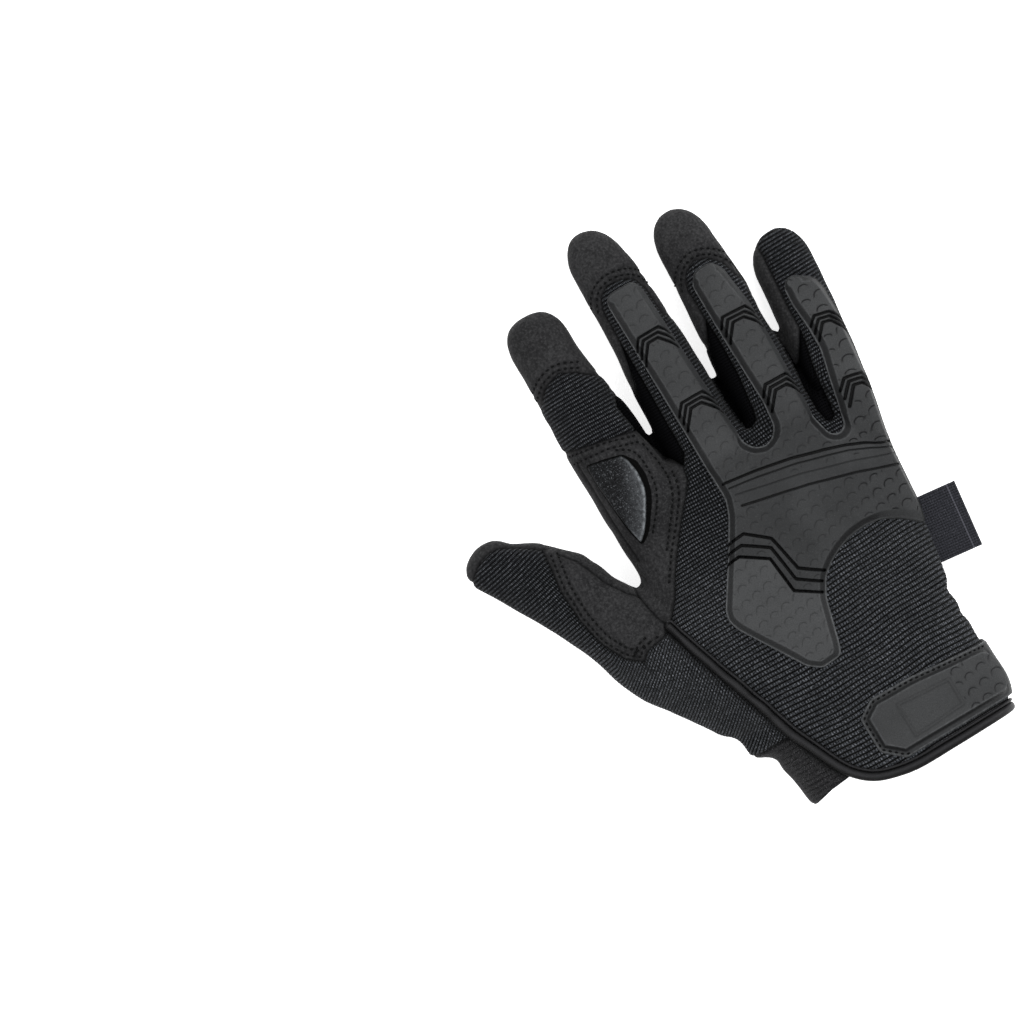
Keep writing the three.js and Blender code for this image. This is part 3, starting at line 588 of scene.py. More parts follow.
# Each panel: its outline on the back, its outline on the palm side, and how its surface is worked
PANELS = {
    "back_panel": (
        [
            *INDEX_DIAGONAL, *MIDDLE_LEFT, *MIDDLE_ARCH, *MIDDLE_RIGHT[::-1], *WEB_MIDDLE_RING, *RING_LEFT,
            *RING_ARCH, *RING_RIGHT[::-1], *WEB_RING_LITTLE, *LITTLE_LEFT, (66, 49), (62, 96), (100, 96),
            (100, -121), *CUFF_EDGE[::-1], *GUSSET_EDGE[:0:-1],
        ],
        None, "knit",
    ),
    "index_side_panel": (
        [*INDEX_DIAGONAL, *INDEX_RIGHT, (-38, 53.4), (-42, 53.4), *CROTCH_SEAM[::-1]], None, "suede",
    ),
    "index_back_knit": (
        [
            INDEX_RIGHT[-1], *INDEX_KNIT_RIGHT, (-3.5, 71.5), (-9.3, 74), *INDEX_ARCH, (-42, 71), (-42, 53.4),
            (-38, 53.4),
        ],
        None, "knit",
    ),
    "index_cap": ([(-9.3, 74), *INDEX_ARCH, (-45, 71), (-45, 115), (-3.5, 115), (-3.5, 71.5)], None, "suede"),
    "middle_cap": (
        [*MIDDLE_SUEDE, *MIDDLE_LEFT[3:], *MIDDLE_ARCH, (31.4, 76), (31.4, 130), (-1.6, 130)], None, "suede",
    ),
    "ring_cap": (
        [*RING_SUEDE, *RING_LEFT[3:], *RING_ARCH, (61.3, 77), (61.3, 120), (31.4, 120)], None, "suede",
    ),
    "fourchette_index_middle": (
        [INDEX_DIAGONAL[-1], *INDEX_RIGHT, *INDEX_KNIT_RIGHT, (-1.6, 64), *MIDDLE_SUEDE, *MIDDLE_LEFT[3::-1]],
        None, "mesh",
    ),
    "fourchette_middle_ring": (
        [*WEB_MIDDLE_RING, *RING_LEFT[:4], *RING_SUEDE[::-1], *MIDDLE_RIGHT[2::-1]], None, "mesh",
    ),
    "fourchette_ring_little": (
        [*WEB_RING_LITTLE, *LITTLE_LEFT[:-1], *LITTLE_SUEDE[::-1], *RING_RIGHT[2::-1]], None, "mesh",
    ),
    "thumb_crotch_patch": ([CORNER, *CROTCH_SEAM, (-42, 34), *CROTCH_EDGE[::-1]], None, "suede"),
    "thumb_back": (
        [CORNER, *CROTCH_EDGE, (-60, 60), (-110, 60), (-110, HEM), *GUSSET_EDGE[4:0:-1]],
        [*THUMB_SEAM, (-3, HEM), (-110, HEM), (-110, 45.4)], "thumb_knit",
    ),
    "palm_panel": (
        None,
        [
            *THUMB_TIP_SEAM, (-41, 8), (-41, INDEX_TIP_SEAM), (-2.4, INDEX_TIP_SEAM), (-2.4, 140), (110, 140),
            (110, HEM), (-3, HEM), *THUMB_SEAM[:3:-1],
        ],
        "suede",
    ),
    "index_palm_tip": (
        None, [(-45, INDEX_TIP_SEAM), (-2.4, INDEX_TIP_SEAM), (-2.4, 130), (-45, 130)], "suede",
    ),
    "thumb_palm_tip": (None, [*THUMB_TIP_SEAM, (-41, 8), (-41, 60), (-92, 60), *THUMB_SEAM[:3]], "suede"),
    "loop_band": (
        [(-100, HEM), *GUSSET_EDGE[4:], *BAND_SLANT],
        [(-100, HEM), (110, HEM), (110, BAND_END), (6, BAND_END), *BAND_SLANT],
        "webbing",
    ),
}

GRIP = [
    (-30, 8), (-21, 4), (0, 3.6), (16, 5.4), (26, 11.5), (40, 18), (54, 16.6), (68, 11), (75, 12), (79, 18),
    (82, 26), (82.6, 36), (82.6, 44), (78, 49), (70, 49), (65.4, 44), (64, 36), (60.6, 33.4), (57.4, 36),
    (56.4, 43), (51.5, 48), (41, 48), (36, 43), (34, 34), (30.6, 31), (27, 34), (25, 43), (20, 48), (9.4, 48),
    (4.4, 43), (2.4, 33), (-3, 29.4), (-7.6, 32), (-9.4, 41), (-14.4, 46), (-26, 46), (-31, 41), (-31.4, 26),
]
THENAR = [
    (-20, -2), (-14, 0.8), (10, 1.2), (20, 0.4), (26, -5), (33, -18), (41, -37), (43.6, -52), (41, -60),
    (30, -63), (20, -59.5), (4, -44.5), (-16, -28), (-22.5, -19),
]
HYPOTHENAR = [
    (33, 9), (38, 13.4), (48, 12.4), (66, 5.6), (72, 0), (71.4, -20), (69, -44), (66.4, -54), (58, -56.6),
    (51.4, -53), (48.6, -40), (41, -18), (33, -4),
]
KNUCKLE_PAD = [
    (-30, 44.4), (-22.7, 43), (-15.6, 41), (-12.0, 36), (-11.6, 29.7), (-13, 23.5), (-15.1, 19.2),
    (-18.1, 15), (-20.9, 11.1), (-23.6, 8.4), (-26.8, 6.6), (-28.6, 14), (-29.4, 24), (-30, 33.4),
]
PAD_CROWN = [
    (-29.5, 43.9), (-22.7, 42.5), (-15.9, 40.6), (-14.7, 37.6), (-13.9, 31.7), (-14.6, 25.5), (-16.1, 21.7),
    (-20.7, 14.2), (-23.6, 10.4), (-26.6, 7.6), (-28, 15), (-28.9, 24), (-29.4, 33.4),
]
GUARD = [
    (9.6, 92), (9.6, 5), (7.4, -1), (0, -13), (-12.6, -32), (-13.6, -36), (-12.2, -40.6), (3.4, -66.4),
    (8.6, -70.4), (17.2, -69.8), (18.9, -66), (24, -47.4), (28, -40.4), (33, -36.6), (38, -34), (44, -32.1),
    (51, -31.5), (57.3, -32.4), (63.4, -35.7), (67.5, -39), (71.8, -43), (73.9, -36), (76, -12), (78, 0),
    (81.2, 15), (85.3, 45), (85.4, 57), (84.6, 61.8), (77, 66.8), (74.4, 66.4), (72, 63.4), (71.4, 57),
    (71.9, 45), (71.6, 36), (68.6, 24), (66.6, 14), (64.4, 6.4), (61, 4.4), (57.8, 6.4), (55.8, 15),
    (57.2, 50), (57.4, 66), (55.6, 83), (52.4, 87.5), (45.4, 87.5), (41.8, 83), (41.4, 60), (41.8, 30),
    (40.6, 20), (38, 16.6), (34, 15), (30, 16.6), (27.4, 20.4), (26, 45), (24.5, 93), (22, 97), (12.5, 97),
    (10, 95),
]
STRAP_BACK = [
    (110, -94.6), (66, -94.2), (50, -92.4), (35, -90.6), (18, -90.2), (10.6, -95), (10.6, -110),
    (18.6, -117.2), (110, -117.2),
]
STRAP_PALM = [(110, -94.6), (66, -93), (39, -89.4), (33, -95), (33, -105), (42, -112.6), (110, -117.2)]
TAPE = [
    CORNER, (-30.6, -36.5), (-27.1, -47.4), (-23.8, -56.3), (-20.7, -65.7), (-18.5, -71.9), (-14.4, -85.6),
    (-12.1, -90.7), (-9.6, -96.2), (-7.2, -101.8), (-4.6, -107.3), (-1.4, -111.8), (3.2, -115.9),
    (8.9, -118.5), (20, -120.9), (34, -120.8), (110, -120.7),
]


def rounded(points, closed=True, radius=3.0):
    """The line with each corner turned into a bow that starts at most radius before it."""
    points = np.asarray(points, float)
    t = np.linspace(0, 1, 5)[:, None]
    before, after = np.roll(points, 1, axis=0) - points, np.roll(points, -1, axis=0) - points
    out = []
    for corner, back, ahead in zip(points, before, after):
        a = corner + back * min(0.5, radius / np.linalg.norm(back))
        b = corner + ahead * min(0.5, radius / np.linalg.norm(ahead))
        out.append((1 - t) ** 2 * a + 2 * t * (1 - t) * corner + t**2 * b)
    if not closed:
        out[0], out[-1] = points[:1], points[-1:]
    return np.vstack(out)


def moved(line, gap, closed=False):
    """The line moved to its left by the gap."""
    line = np.asarray(line, float)
    ahead = np.roll(line, -1, axis=0) - line
    behind = line - np.roll(line, 1, axis=0)
    if not closed:
        ahead[-1], behind[0] = behind[-1], ahead[0]
    along = unit(unit(ahead) + unit(behind))
    return line + gap * np.column_stack([-along[:, 1], along[:, 0]])


def seam_height(points):
    """Height of the side seam over each place."""
    x, y = points[:, 0], points[:, 1]
    out = np.full(len(points), SEAM)
    for name, low, high in (("index", -38, -3), ("middle", -3, 32), ("ring", 32, 62), ("little", 62, 999)):
        here = (x >= low) & (x < high) & (y > 20)
        out[here] = limb_seam(name, y[here])
    own = world_to_thumb(points)
    here = (x < -38) & (own[:, 1] > 5)
    out[here] = limb_seam("thumb", own[here, 1])
    return out


def limb_seam(name, y):
    rows, tip = LIMBS[name]
    y_at = [row.y for row in rows] + [rows[-1].y + tip.length]
    return spline(y_at, [row.seam for row in rows] + [tip.z], y)


# The knit's rows are closer over the knuckles and fingers than over the wrist. A cloth place is counted in
# columns across and rows along, and each row's ridge lies at a whole count.
COLUMN = 1.2
ROW_ABOVE, ROW_BELOW, ROW_THUMB = 1.5, 1.95, 1.5
RIB_SHARE = 0.15  # height of a ridge for each millimetre from row to row
FURROW_HALF = 0.23  # half a furrow's width, in rows
ROW_HEIGHTS = np.linspace(-150, 150, 601)
FINGER_MIDDLES = (-20, 15, 48, 75)


def row_pitch(y):
    return ROW_ABOVE + (ROW_BELOW - ROW_ABOVE) * ramp(-y, 0, 75)


ROW_COUNTS = np.cumsum(0.5 / row_pitch(ROW_HEIGHTS))


def hand_weave(points):
    """Where each point of the hand lies on the knit laid flat."""
    x, y, z = points[:, :3].T
    finger = np.zeros(len(points))
    for middle in FINGER_MIDDLES:
        near = np.abs(x - middle) < 16
        finger[near] = (x[near] - middle) / 13
    share = ramp(y, 22, 44)
    side = np.clip((1 - share) * (x - 18) / 50 + share * finger, -1, 1)
    wave = 0.3 * np.sin(x / 11 + 0.8 * np.sin(y / 23)) + 0.12 * np.sin(x / 4.7 + y / 15)
    return np.column_stack([(x + side * (34 - z)) / COLUMN, np.interp(y, ROW_HEIGHTS, ROW_COUNTS) + wave])


def thumb_weave(points):
    """The same for the thumb, whose rows turn steeper at its heel."""
    x, y, z = points[:, :3].T
    side = np.clip((world_to_thumb(points)[:, 0] - 4) / 14, -1, 1)
    heel = 0.62 * np.maximum(x + 60, 0) * ramp(-y, 8, 32)
    along = -0.21 * x + 0.98 * y - heel + 0.3 * np.sin(x / 6 + y / 13)
    return np.column_stack([(0.98 * x + 0.21 * y + side * (30 - z)) / COLUMN, along / ROW_THUMB])


def rib(rows, count, pitch):
    """Height of the knit's rows: rounded ridges, lower on the fingers and at the glove's sides."""
    away = np.minimum(np.abs(count % 1 - 0.5) / FURROW_HALF, 1)
    share = (1 - 0.4 * waffled(rows)) * (0.3 + 0.7 * ramp(np.abs(rows[:, 5]), 0.1, 0.6))
    return RIB_SHARE * pitch * share * (2 * np.sin(away * math.pi / 2) - 1)


def waffled(rows):
    """From 0 where the knit shows its rows to 1 on the fingers, where it shows a grid of small holes."""
    return ramp(rows[:, 1], -30, 12)


def panel_field(back, palm):
    """Negative on the panel: its distance from the panel's border, seen from above."""
    def field(points):
        over = seam_height(points) - points[:, 2]
        for shape in WRAPS:
            over = np.maximum(over, -signed(points, shape))
        on_back, on_palm = (signed(points, shape) if shape else np.inf for shape in (back, palm))
        sides = [np.maximum(on_back, over), np.maximum(on_palm, -over), np.maximum(on_back, on_palm)]
        return np.min(sides, axis=0)
    return field


# Folds and creases of the worn cloth: from, to, depth and width in millimetres, and the side they show on. A
# negative depth is a bulge.
CREASES = [
    ((-33, 54), (-6, 54), 1.1, 2.6, "palm"), ((2, 70), (28, 70.6), 1.3, 2.6, "palm"),
    ((3, 90), (28, 90), 0.9, 2.2, "palm"), ((34, 70), (60, 70), 1.2, 2.6, "palm"),
    ((36, 87), (60, 87), 0.8, 2.2, "palm"), ((63, 52), (86, 51), 1.0, 2.4, "palm"),
    ((-20, 30.5), (46, 27.5), 1.2, 3.0, "palm"), ((-36, -6), (-46, -24), 1.1, 2.4, "palm"),
    ((-30, -60), (12, -66), 0.9, 2.6, "palm"), ((-22, -68), (50, -72), 0.8, 2.4, "palm"),
    ((-15, -76), (60, -80), 0.6, 2.2, "palm"), ((60, -66), (68, -70), 0.6, 2.0, "both"),
    ((58, -79), (67, -80.5), 0.6, 2.0, "both"), ((-56, 0), (-47, 11), 0.5, 2.6, "both"),
    ((-36, -83.5), (-25, -86.4), -3.2, 3.0, "both"),
    ((-34, 64), (-8, 62), 0.5, 2.4, "back"), ((-33, 72), (-9, 68), 0.35, 2.0, "back"),
    ((-60, -36), (-36, -42), 0.7, 3.4, "back"), ((-52, -52), (-28, -54), 0.8, 3.2, "back"),
    ((-40, -68), (-22, -66), 0.9, 3.0, "back"), ((-32, -79), (-18, -76), 0.7, 2.4, "back"),
    ((-70, -6), (-58, 4), 0.6, 3.0, "back"), ((24, -74), (66, -72), 0.5, 3.2, "back"),
    ((-6, -84), (40, -83), 0.4, 3.0, "back"), ((4, 108), (26, 108), 0.25, 2.4, "back"),
]


def creased(points, faces):
    """The bare surface with its folds, soft undulations and flat underside."""
    out = normals_of(points, faces)
    shown = {"back": ramp(out[:, 2], -0.1, 0.4), "palm": ramp(-out[:, 2], 0.05, 0.6), "both": 1.0}
    shift = np.zeros(len(points))
    for start, end, depth, width, side in CREASES:
        gap = distance(points, [start, end])
        shift -= depth * shown[side] * bell(gap, width)
        shift += 0.35 * depth * shown[side] * bell(gap - 2.2 * width, width)
    waves = np.array([noise.fractal(Vector(p) / 26, 1.0, 2.0, 2, noise_basis="PERLIN_NEW") for p in points])
    shift += 0.75 * waves + SIDES_OUT * (1 - np.abs(out[:, 2]))
    points = points + out * shift[:, None]
    low = points[:, 2] < GROUND + WALL + 1
    points[low, 2] = np.maximum(points[low, 2], GROUND + 0.05)
    return points


class Piece:
    """One closed mesh laid on the glove: the surface inside a border, with a relief on top and a base below.

    A row holds a vertex: x, y, z, its normal, its field, which is minus the distance from the border, and 1
    on top or 0 below."""

    def __init__(self, name, field, relief, fine, base=-WALL + 0.1, scores=()):
        points, faces = SKIN
        near = field(points)
        rows = np.column_stack([points, NORMALS, near])
        rows, faces = biggest(*clip(rows, faces, near + CLEAR))
        count = len(rows)
        back, _, times = edges_of(faces, count)
        rim = np.flatnonzero(times == 1)
        sides = []
        for k, (a, b) in enumerate(((0, 1), (1, 2), (2, 0))):
            here = np.isin(back[:, k], rim)
            start, end = faces[here, a], faces[here, b]
            sides.append(np.column_stack([end, start, start + count]))
            sides.append(np.column_stack([end, start + count, end + count]))
        faces = np.vstack([faces, faces[:, ::-1] + count, *sides])
        rows = np.vstack([np.hstack([rows, np.ones((count, 1))]), np.hstack([rows, np.zeros((count, 1))])])
        rows, faces = refine(rows, faces, fine)
        for value, levels, sliver in scores:
            rows, faces = score(rows, faces, value(rows), levels, sliver)
        rows[:, 3:6] = unit(rows[:, 3:6])
        self.name, self.rows, self.faces = name, rows, faces
        self.top = rows[:, 7] > 0.99
        height = np.zeros(len(rows))
        height[self.top] = relief(rows[self.top])
        height[~self.top] = base(rows[~self.top]) if callable(base) else base
        self.points = rows[:, :3] + rows[:, 3:6] * height[:, None]
        self.points[:, 2] = np.maximum(self.points[:, 2], GROUND + 0.02 + 0.4 * ~self.top)

    def build(self, material, slot, weave=hand_weave, **marks):
        """Makes the object. Marks are numbers for each vertex that its material reads."""
        mesh = bare_mesh(self.name, self.points, self.faces)
        mesh.uv_layers.new(name="weave").data.foreach_set("uv", weave(self.rows)[self.faces.ravel()].ravel())
        # The deep mark is painted shade, none unless a piece gives it.
        marks = {"inside": ~self.top, "deep": np.zeros(len(self.rows)), **marks}
        for name, values in marks.items():
            layer = mesh.attributes.new(name, "FLOAT", "POINT")
            layer.data.foreach_set("value", np.asarray(values, np.float32))
        return finished(self.name, mesh, material, slot)

    def tree(self):
        return BVHTree.FromPolygons(self.points.tolist(), self.faces.tolist())


SHARP_FROM = math.radians(50)


def finished(name, mesh, material, slot):
    """The object that takes the place of the node of the same name."""
    mesh.shade_smooth()
    mesh.set_sharp_from_angle(angle=SHARP_FROM)
    mesh.materials.append(material)
    thing = linked(name, mesh)
    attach(thing, "root")
    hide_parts(name)
    return thing


def edge_round(rows, width):
    """From 0 at the piece's border to 1 at the width inside it."""
    return quarter_round(-rows[:, 6] / width)


def inner(shape, gap):
    """The closed outline moved inwards."""
    shape = np.asarray(shape, float)
    x, y = shape.T
    area = (x * np.roll(y, -1) - y * np.roll(x, -1)).sum()
    return moved(shape, math.copysign(gap, area), closed=True)


# Node groups. A shading group gives colours, values and normals, and each material has its own shader.
SOCKETS = {
    "vector": "NodeSocketVector", "value": "NodeSocketFloat", "colour": "NodeSocketColor",
    "geometry": "NodeSocketGeometry", "material": "NodeSocketMaterial", "number": "NodeSocketInt",
}
OUTPUTS = {"Color": "colour", "Roughness": "value", "Normal": "vector", "Geometry": "geometry"}


class Wire:
    """A node's output. Sums, differences and products with numbers and other wires are written as such."""

    def __init__(self, tree, socket):
        self.tree, self.socket = tree, socket

    def __add__(self, other):
        return self.tree.math("ADD", self, other)

    def __sub__(self, other):
        return self.tree.math("SUBTRACT", self, other)

    def __mul__(self, other):
        return self.tree.math("MULTIPLY", self, other)


class Tree:
    """A node tree that is put together with short calls."""

    def __init__(self, tree):
        self.nodes, self.links = tree.nodes, tree.links

    def feed(self, socket, value):
        if isinstance(value, Wire):
            self.links.new(value.socket, socket)
        else:
            socket.default_value = value

    def node(self, kind, settings=(), **inputs):
        """A new node's outputs. Each input is called by its name, or by i and its number."""
        made = self.nodes.new(kind)
        for name, value in dict(settings).items():
            setattr(made, name, value)
        for name, value in inputs.items():
            self.feed(made.inputs[int(name[1:]) if name[1:].isdigit() else name], value)
        return [Wire(self, socket) for socket in made.outputs]

    def math(self, operation, a, b=0.0, clamp=False):
        return self.node("ShaderNodeMath", {"operation": operation, "use_clamp": clamp}, i0=a, i1=b)[0]

    def arches(self, count):
        """A round arch from each whole number to the next."""
        return self.math("ABSOLUTE", self.math("SINE", count * math.pi))

    def vector(self, operation, a, b):
        return self.node("ShaderNodeVectorMath", {"operation": operation}, i0=a, i1=b)[0]

    def scaled(self, place, by):
        return self.node("ShaderNodeVectorMath", {"operation": "SCALE"}, i0=place, Scale=by)[0]

    def span(self, value, low, high, start=0.0, end=1.0):
        """From start to end, as the value goes from low to high."""
        ends = {"From Min": low, "From Max": high, "To Min": start, "To Max": end}
        return self.node("ShaderNodeMapRange", {"interpolation_type": "SMOOTHSTEP"}, Value=value, **ends)[0]

    def noise(self, place, scale, detail=3.0, rough=0.55):
        return self.node("ShaderNodeTexNoise", Vector=place, Scale=scale, Detail=detail, Roughness=rough)[0]

    def mix(self, share, a, b):
        return self.node("ShaderNodeMix", {"data_type": "RGBA"}, i0=share, i6=a, i7=b)[2]

    def bump(self, height, depth):
        return self.node("ShaderNodeBump", Height=height, Distance=depth, Strength=1.0)[0]


def group(name, inputs, outputs, work, kind="ShaderNodeTree"):
    """A node group: work gets its tree and named inputs, and gives back the outputs."""
    made = bpy.data.node_groups.new(name, kind)
    for socket, (sort, value) in inputs.items():
        item = made.interface.new_socket(socket, in_out="INPUT", socket_type=SOCKETS[sort])
        if value is not None:
            item.default_value = value
    for socket in outputs:
        made.interface.new_socket(socket, in_out="OUTPUT", socket_type=SOCKETS[OUTPUTS[socket]])
    tree = Tree(made)
    results = work(tree, dict(zip(inputs, tree.node("NodeGroupInput"))))
    tree.node("NodeGroupOutput", **dict(zip(outputs, results)))
    return made


def knit_work(t, g):
    """Rows of loops with dark furrows, or a grid of small dark holes, in fluffy yarn."""
    column, row, _ = t.node("ShaderNodeSeparateXYZ", Vector=g["Weave"])
    waffle = g["Waffle"]
    ridge = t.span(t.math("COSINE", row * (2 * math.pi)), waffle * 0.35 - 0.9, waffle * 0.3 + 0.35)
    loop = t.span(t.arches(column), 0.1, 0.85)
    rows = ridge * t.span(loop, 0.0, 1.0, 0.3, 1.0)
    net = [t.span(ridge, 0.35, 1.0), t.span(loop, 0.45, 1.0)]
    grid = t.math("MAXIMUM", *net) * 0.1 + net[0] * net[1] * 0.9
    loops = rows + waffle * (grid - rows)
    yarn = t.noise(g["Place"], g["Yarn scale"], 4.0, 0.7)
    worn = t.span(t.noise(g["Place"], 0.05), 0.35, 0.7, 0.6, 1.0)
    shade = t.mix(loops, g["Furrow"], g["Yarn"])
    shade = t.mix(t.span(yarn, 0.52, 0.4) * 0.7, shade, g["Furrow"])
    shade = t.mix(loops * worn * t.span(yarn, 0.5, 0.64), shade, g["Fleck"])
    return shade, t.span(loops, 0.0, 1.0, 1.0, 0.8), t.bump(loops + yarn * 0.5, g["Depth"])


def mesh_work(t, g):
    """An open mesh: small dark holes in staggered rows."""
    column, row, _ = t.node("ShaderNodeSeparateXYZ", Vector=t.scaled(g["Weave"], g["Holes"]))
    column = column + t.math("FLOOR", row) * 0.5
    squares = [t.math("POWER", t.math("FRACT", value) - 0.5, 2.0) for value in (column, row)]
    cord = t.span(t.math("SQRT", squares[0] + squares[1]), 0.18, 0.36)
    yarn = t.noise(g["Place"], 3.0)
    shade = t.mix(cord * t.span(yarn, 0.3, 0.7, 0.4, 1.0), g["Hole"], g["Thread"])
    return shade, t.span(cord, 0.0, 1.0, 1.0, 0.7), t.bump(cord + yarn * 0.3, g["Depth"])


def suede_work(t, g):
    """Short nap brushed into lighter and darker clouds, with a coarse fibre grain."""
    clouds = t.noise(g["Place"], 0.045, 4.0, 0.6)
    brushed = t.noise(t.vector("MULTIPLY", g["Place"], (1.0, 0.5, 1.0)), 0.5, 4.0, 0.7)
    grain = t.noise(g["Place"], g["Grain"], 3.0, 0.7)
    shade = t.mix(t.span(clouds * 0.45 + brushed * 0.55, 0.38, 0.62), g["Dark"], g["Light"])
    shade = t.mix(t.span(grain, 0.5, 0.66) * 0.5, shade, g["Nap"])
    shade = t.mix(t.span(grain, 0.5, 0.34) * 0.5, shade, g["Pit"])
    return shade, t.span(grain, 0.35, 0.65, 0.98, 0.8), t.bump(grain + brushed * 0.6, g["Depth"])


def pebble_work(t, g):
    """Rounded grains parted by fine furrows, polished on top."""
    drift = t.node("ShaderNodeTexNoise", Vector=g["Place"], Scale=1.2)[1]
    warped = t.vector("ADD", g["Place"], t.scaled(drift, 0.5))
    edge = t.node("ShaderNodeTexVoronoi", {"feature": "DISTANCE_TO_EDGE"}, Vector=warped, Scale=g["Grain"])[0]
    dome = t.span(edge, 0.0, 0.32)
    patch = t.span(t.noise(g["Place"], 0.07), 0.3, 0.7)
    shade = t.mix(dome, g["Furrow"], t.mix(patch, g["Dark"], g["Light"]))
    height = dome + t.noise(g["Place"], 4.0) * 0.15
    return shade, t.span(dome + patch * 0.4, 0.0, 1.4, 0.75, 0.36), t.bump(height, g["Depth"])


def rubber_work(t, g):
    """Matt moulded rubber, paler on its plates, with painted highlights, partly real wear, on its edges."""
    fine = t.noise(g["Place"], g["Grain"], 4.0, 0.7)
    clouds = t.noise(g["Place"], 0.05, 4.0)
    tone = t.math("ADD", g["Tone"], t.span(clouds, 0.3, 0.7, -0.15, 0.15), clamp=True)
    shade = t.mix(tone, g["Dark"], g["Light"])
    shade = t.mix(t.span(fine, 0.5, 0.35) * g["Speck"], shade, g["Dark"])
    shade = t.mix(t.span(fine, 0.54, 0.7) * g["Speck"] * 0.5, shade, g["Rubbed"])
    # Painted highlight where the Crest mark is, in the pale colour; on the guard and the strap it is partly
    # real wear of the edges.
    wear_and_highlight = g["Crest"] * t.span(t.noise(g["Place"], 0.7, 4.0), 0.3, 0.65, 0.3, 1.0)
    shade = t.mix(wear_and_highlight, shade, g["Rubbed"])
    return shade, t.span(fine + clouds, 0.6, 1.4, 0.45, 0.62), t.bump(fine, g["Depth"])


def satin_work(t, g):
    """Smooth tape of fine slanting threads."""
    along, across, _ = t.node("ShaderNodeSeparateXYZ", Vector=g["Weave"])
    thread = t.math("ABSOLUTE", t.math("SINE", (along + across) * g["Threads"]))
    fine = t.noise(g["Place"], 2.0, 4.0, 0.7)
    shade = t.mix(t.span(thread, 0.1, 0.9), g["Dark"], g["Light"])
    shade = t.mix(t.span(fine, 0.5, 0.8) * 0.4, shade, g["Dark"])
    return shade, t.span(fine, 0.3, 0.7, 0.3, 0.46), t.bump(thread + fine * 0.5, g["Depth"])


def webbing_work(t, g):
    """Elastic webbing: narrow ribs crossed by weft, with loop fluff."""
    column, row, _ = t.node("ShaderNodeSeparateXYZ", Vector=t.scaled(g["Weave"], g["Ribs"]))
    weft = t.arches(column + t.math("FLOOR", row))
    weave = t.math("POWER", t.arches(row), 0.6) * t.span(weft, 0.0, 0.8, 0.5, 1.0)
    fluff = t.noise(g["Place"], 2.2, 5.0, 0.75)
    shade = t.mix(t.span(weave, 0.1, 0.9), g["Dark"], g["Light"])
    shade = t.mix(t.span(fluff, 0.5, 0.7) * 0.7, shade, g["Fluff"])
    return shade, t.span(fluff, 0.3, 0.7, 0.95, 0.75), t.bump(weave + fluff * 0.6, g["Depth"])


def woven_work(t, g):
    """The same cloth with a paler woven line along it."""
    shade, rough, normal = webbing_work(t, g)
    column = t.node("ShaderNodeSeparateXYZ", Vector=g["Weave"])[0]
    away = t.math("ABSOLUTE", column - g["Line at"])
    return t.mix(t.span(away, 0.35, 0.2) * 0.8, shade, g["Fluff"]), rough, normal


def thread_work(t, g):
    """Twisted sewing thread."""
    twist = t.noise(t.vector("MULTIPLY", g["Place"], (1.0, 1.0, 3.0)), 3.5, 2.0)
    shade = t.mix(t.span(twist, 0.35, 0.65), g["Dark"], g["Light"])
    return shade, t.span(twist, 0.3, 0.7, 0.7, 0.5), t.bump(twist, g["Depth"])


def linear(colour):
    """What a surface reflects to show as a colour of eight-bit screen numbers under the lamps."""
    levels = [c / 255 for c in colour]
    light = [c / 12.92 if c <= 0.04045 else ((c + 0.055) / 1.055) ** 2.4 for c in levels]
    return (*[c / LAMPLIGHT for c in light], 1.0)


def shade_group(name, work, Lining=(24, 24, 26), Shadow=(5, 5, 6), **inputs):
    """A finish as a node group: colours are given as eight-bit screen numbers, the rest as values."""
    sockets = {
        "Place": ("vector", None), "Weave": ("vector", None),
        "Inside": ("value", 0.0), "Deep": ("value", 0.0),
    }
    for key, value in {"Lining": Lining, "Shadow": Shadow, **inputs}.items():
        is_colour = isinstance(value, tuple)
        sockets[key.replace("_", " ")] = ("colour", linear(value)) if is_colour else ("value", value)

    def shaded(t, g):
        shade, rough, normal = work(t, g)
        shade = t.mix(g["Inside"], shade, g["Lining"])
        # Painted shade: the Deep mark darkens the finish towards the Shadow colour.
        return t.mix(g["Deep"], shade, g["Shadow"]), rough, normal

    return group(name, sockets, ("Color", "Roughness", "Normal"), shaded)


def material(name, shading, gloss, sheen=0.0, marks=()):
    """A material of a group and its own shader. Constants are set on the shader itself."""
    made = bpy.data.materials.new(name)
    made.use_nodes = True
    tree = Tree(made.node_tree)
    _, _, weave, place, *_ = tree.node("ShaderNodeTexCoord")
    given = {"Place": tree.scaled(place, 1 / MM), "Weave": weave}
    for mark in ("Inside", "Deep", *marks):
        given[mark] = tree.node("ShaderNodeAttribute", {"attribute_name": mark.lower()})[2]
    colour, rough, normal = tree.node("ShaderNodeGroup", {"node_tree": shading}, **given)
    shader = made.node_tree.nodes["Principled BSDF"]
    tree.feed(shader.inputs["Base Color"], colour)
    tree.feed(shader.inputs["Roughness"], rough)
    tree.feed(shader.inputs["Normal"], normal)
    tree.feed(shader.inputs["Specular IOR Level"], gloss)
    tree.feed(shader.inputs["Sheen Weight"], sheen)
    tree.feed(shader.inputs["Sheen Roughness"], 0.4)
    return made


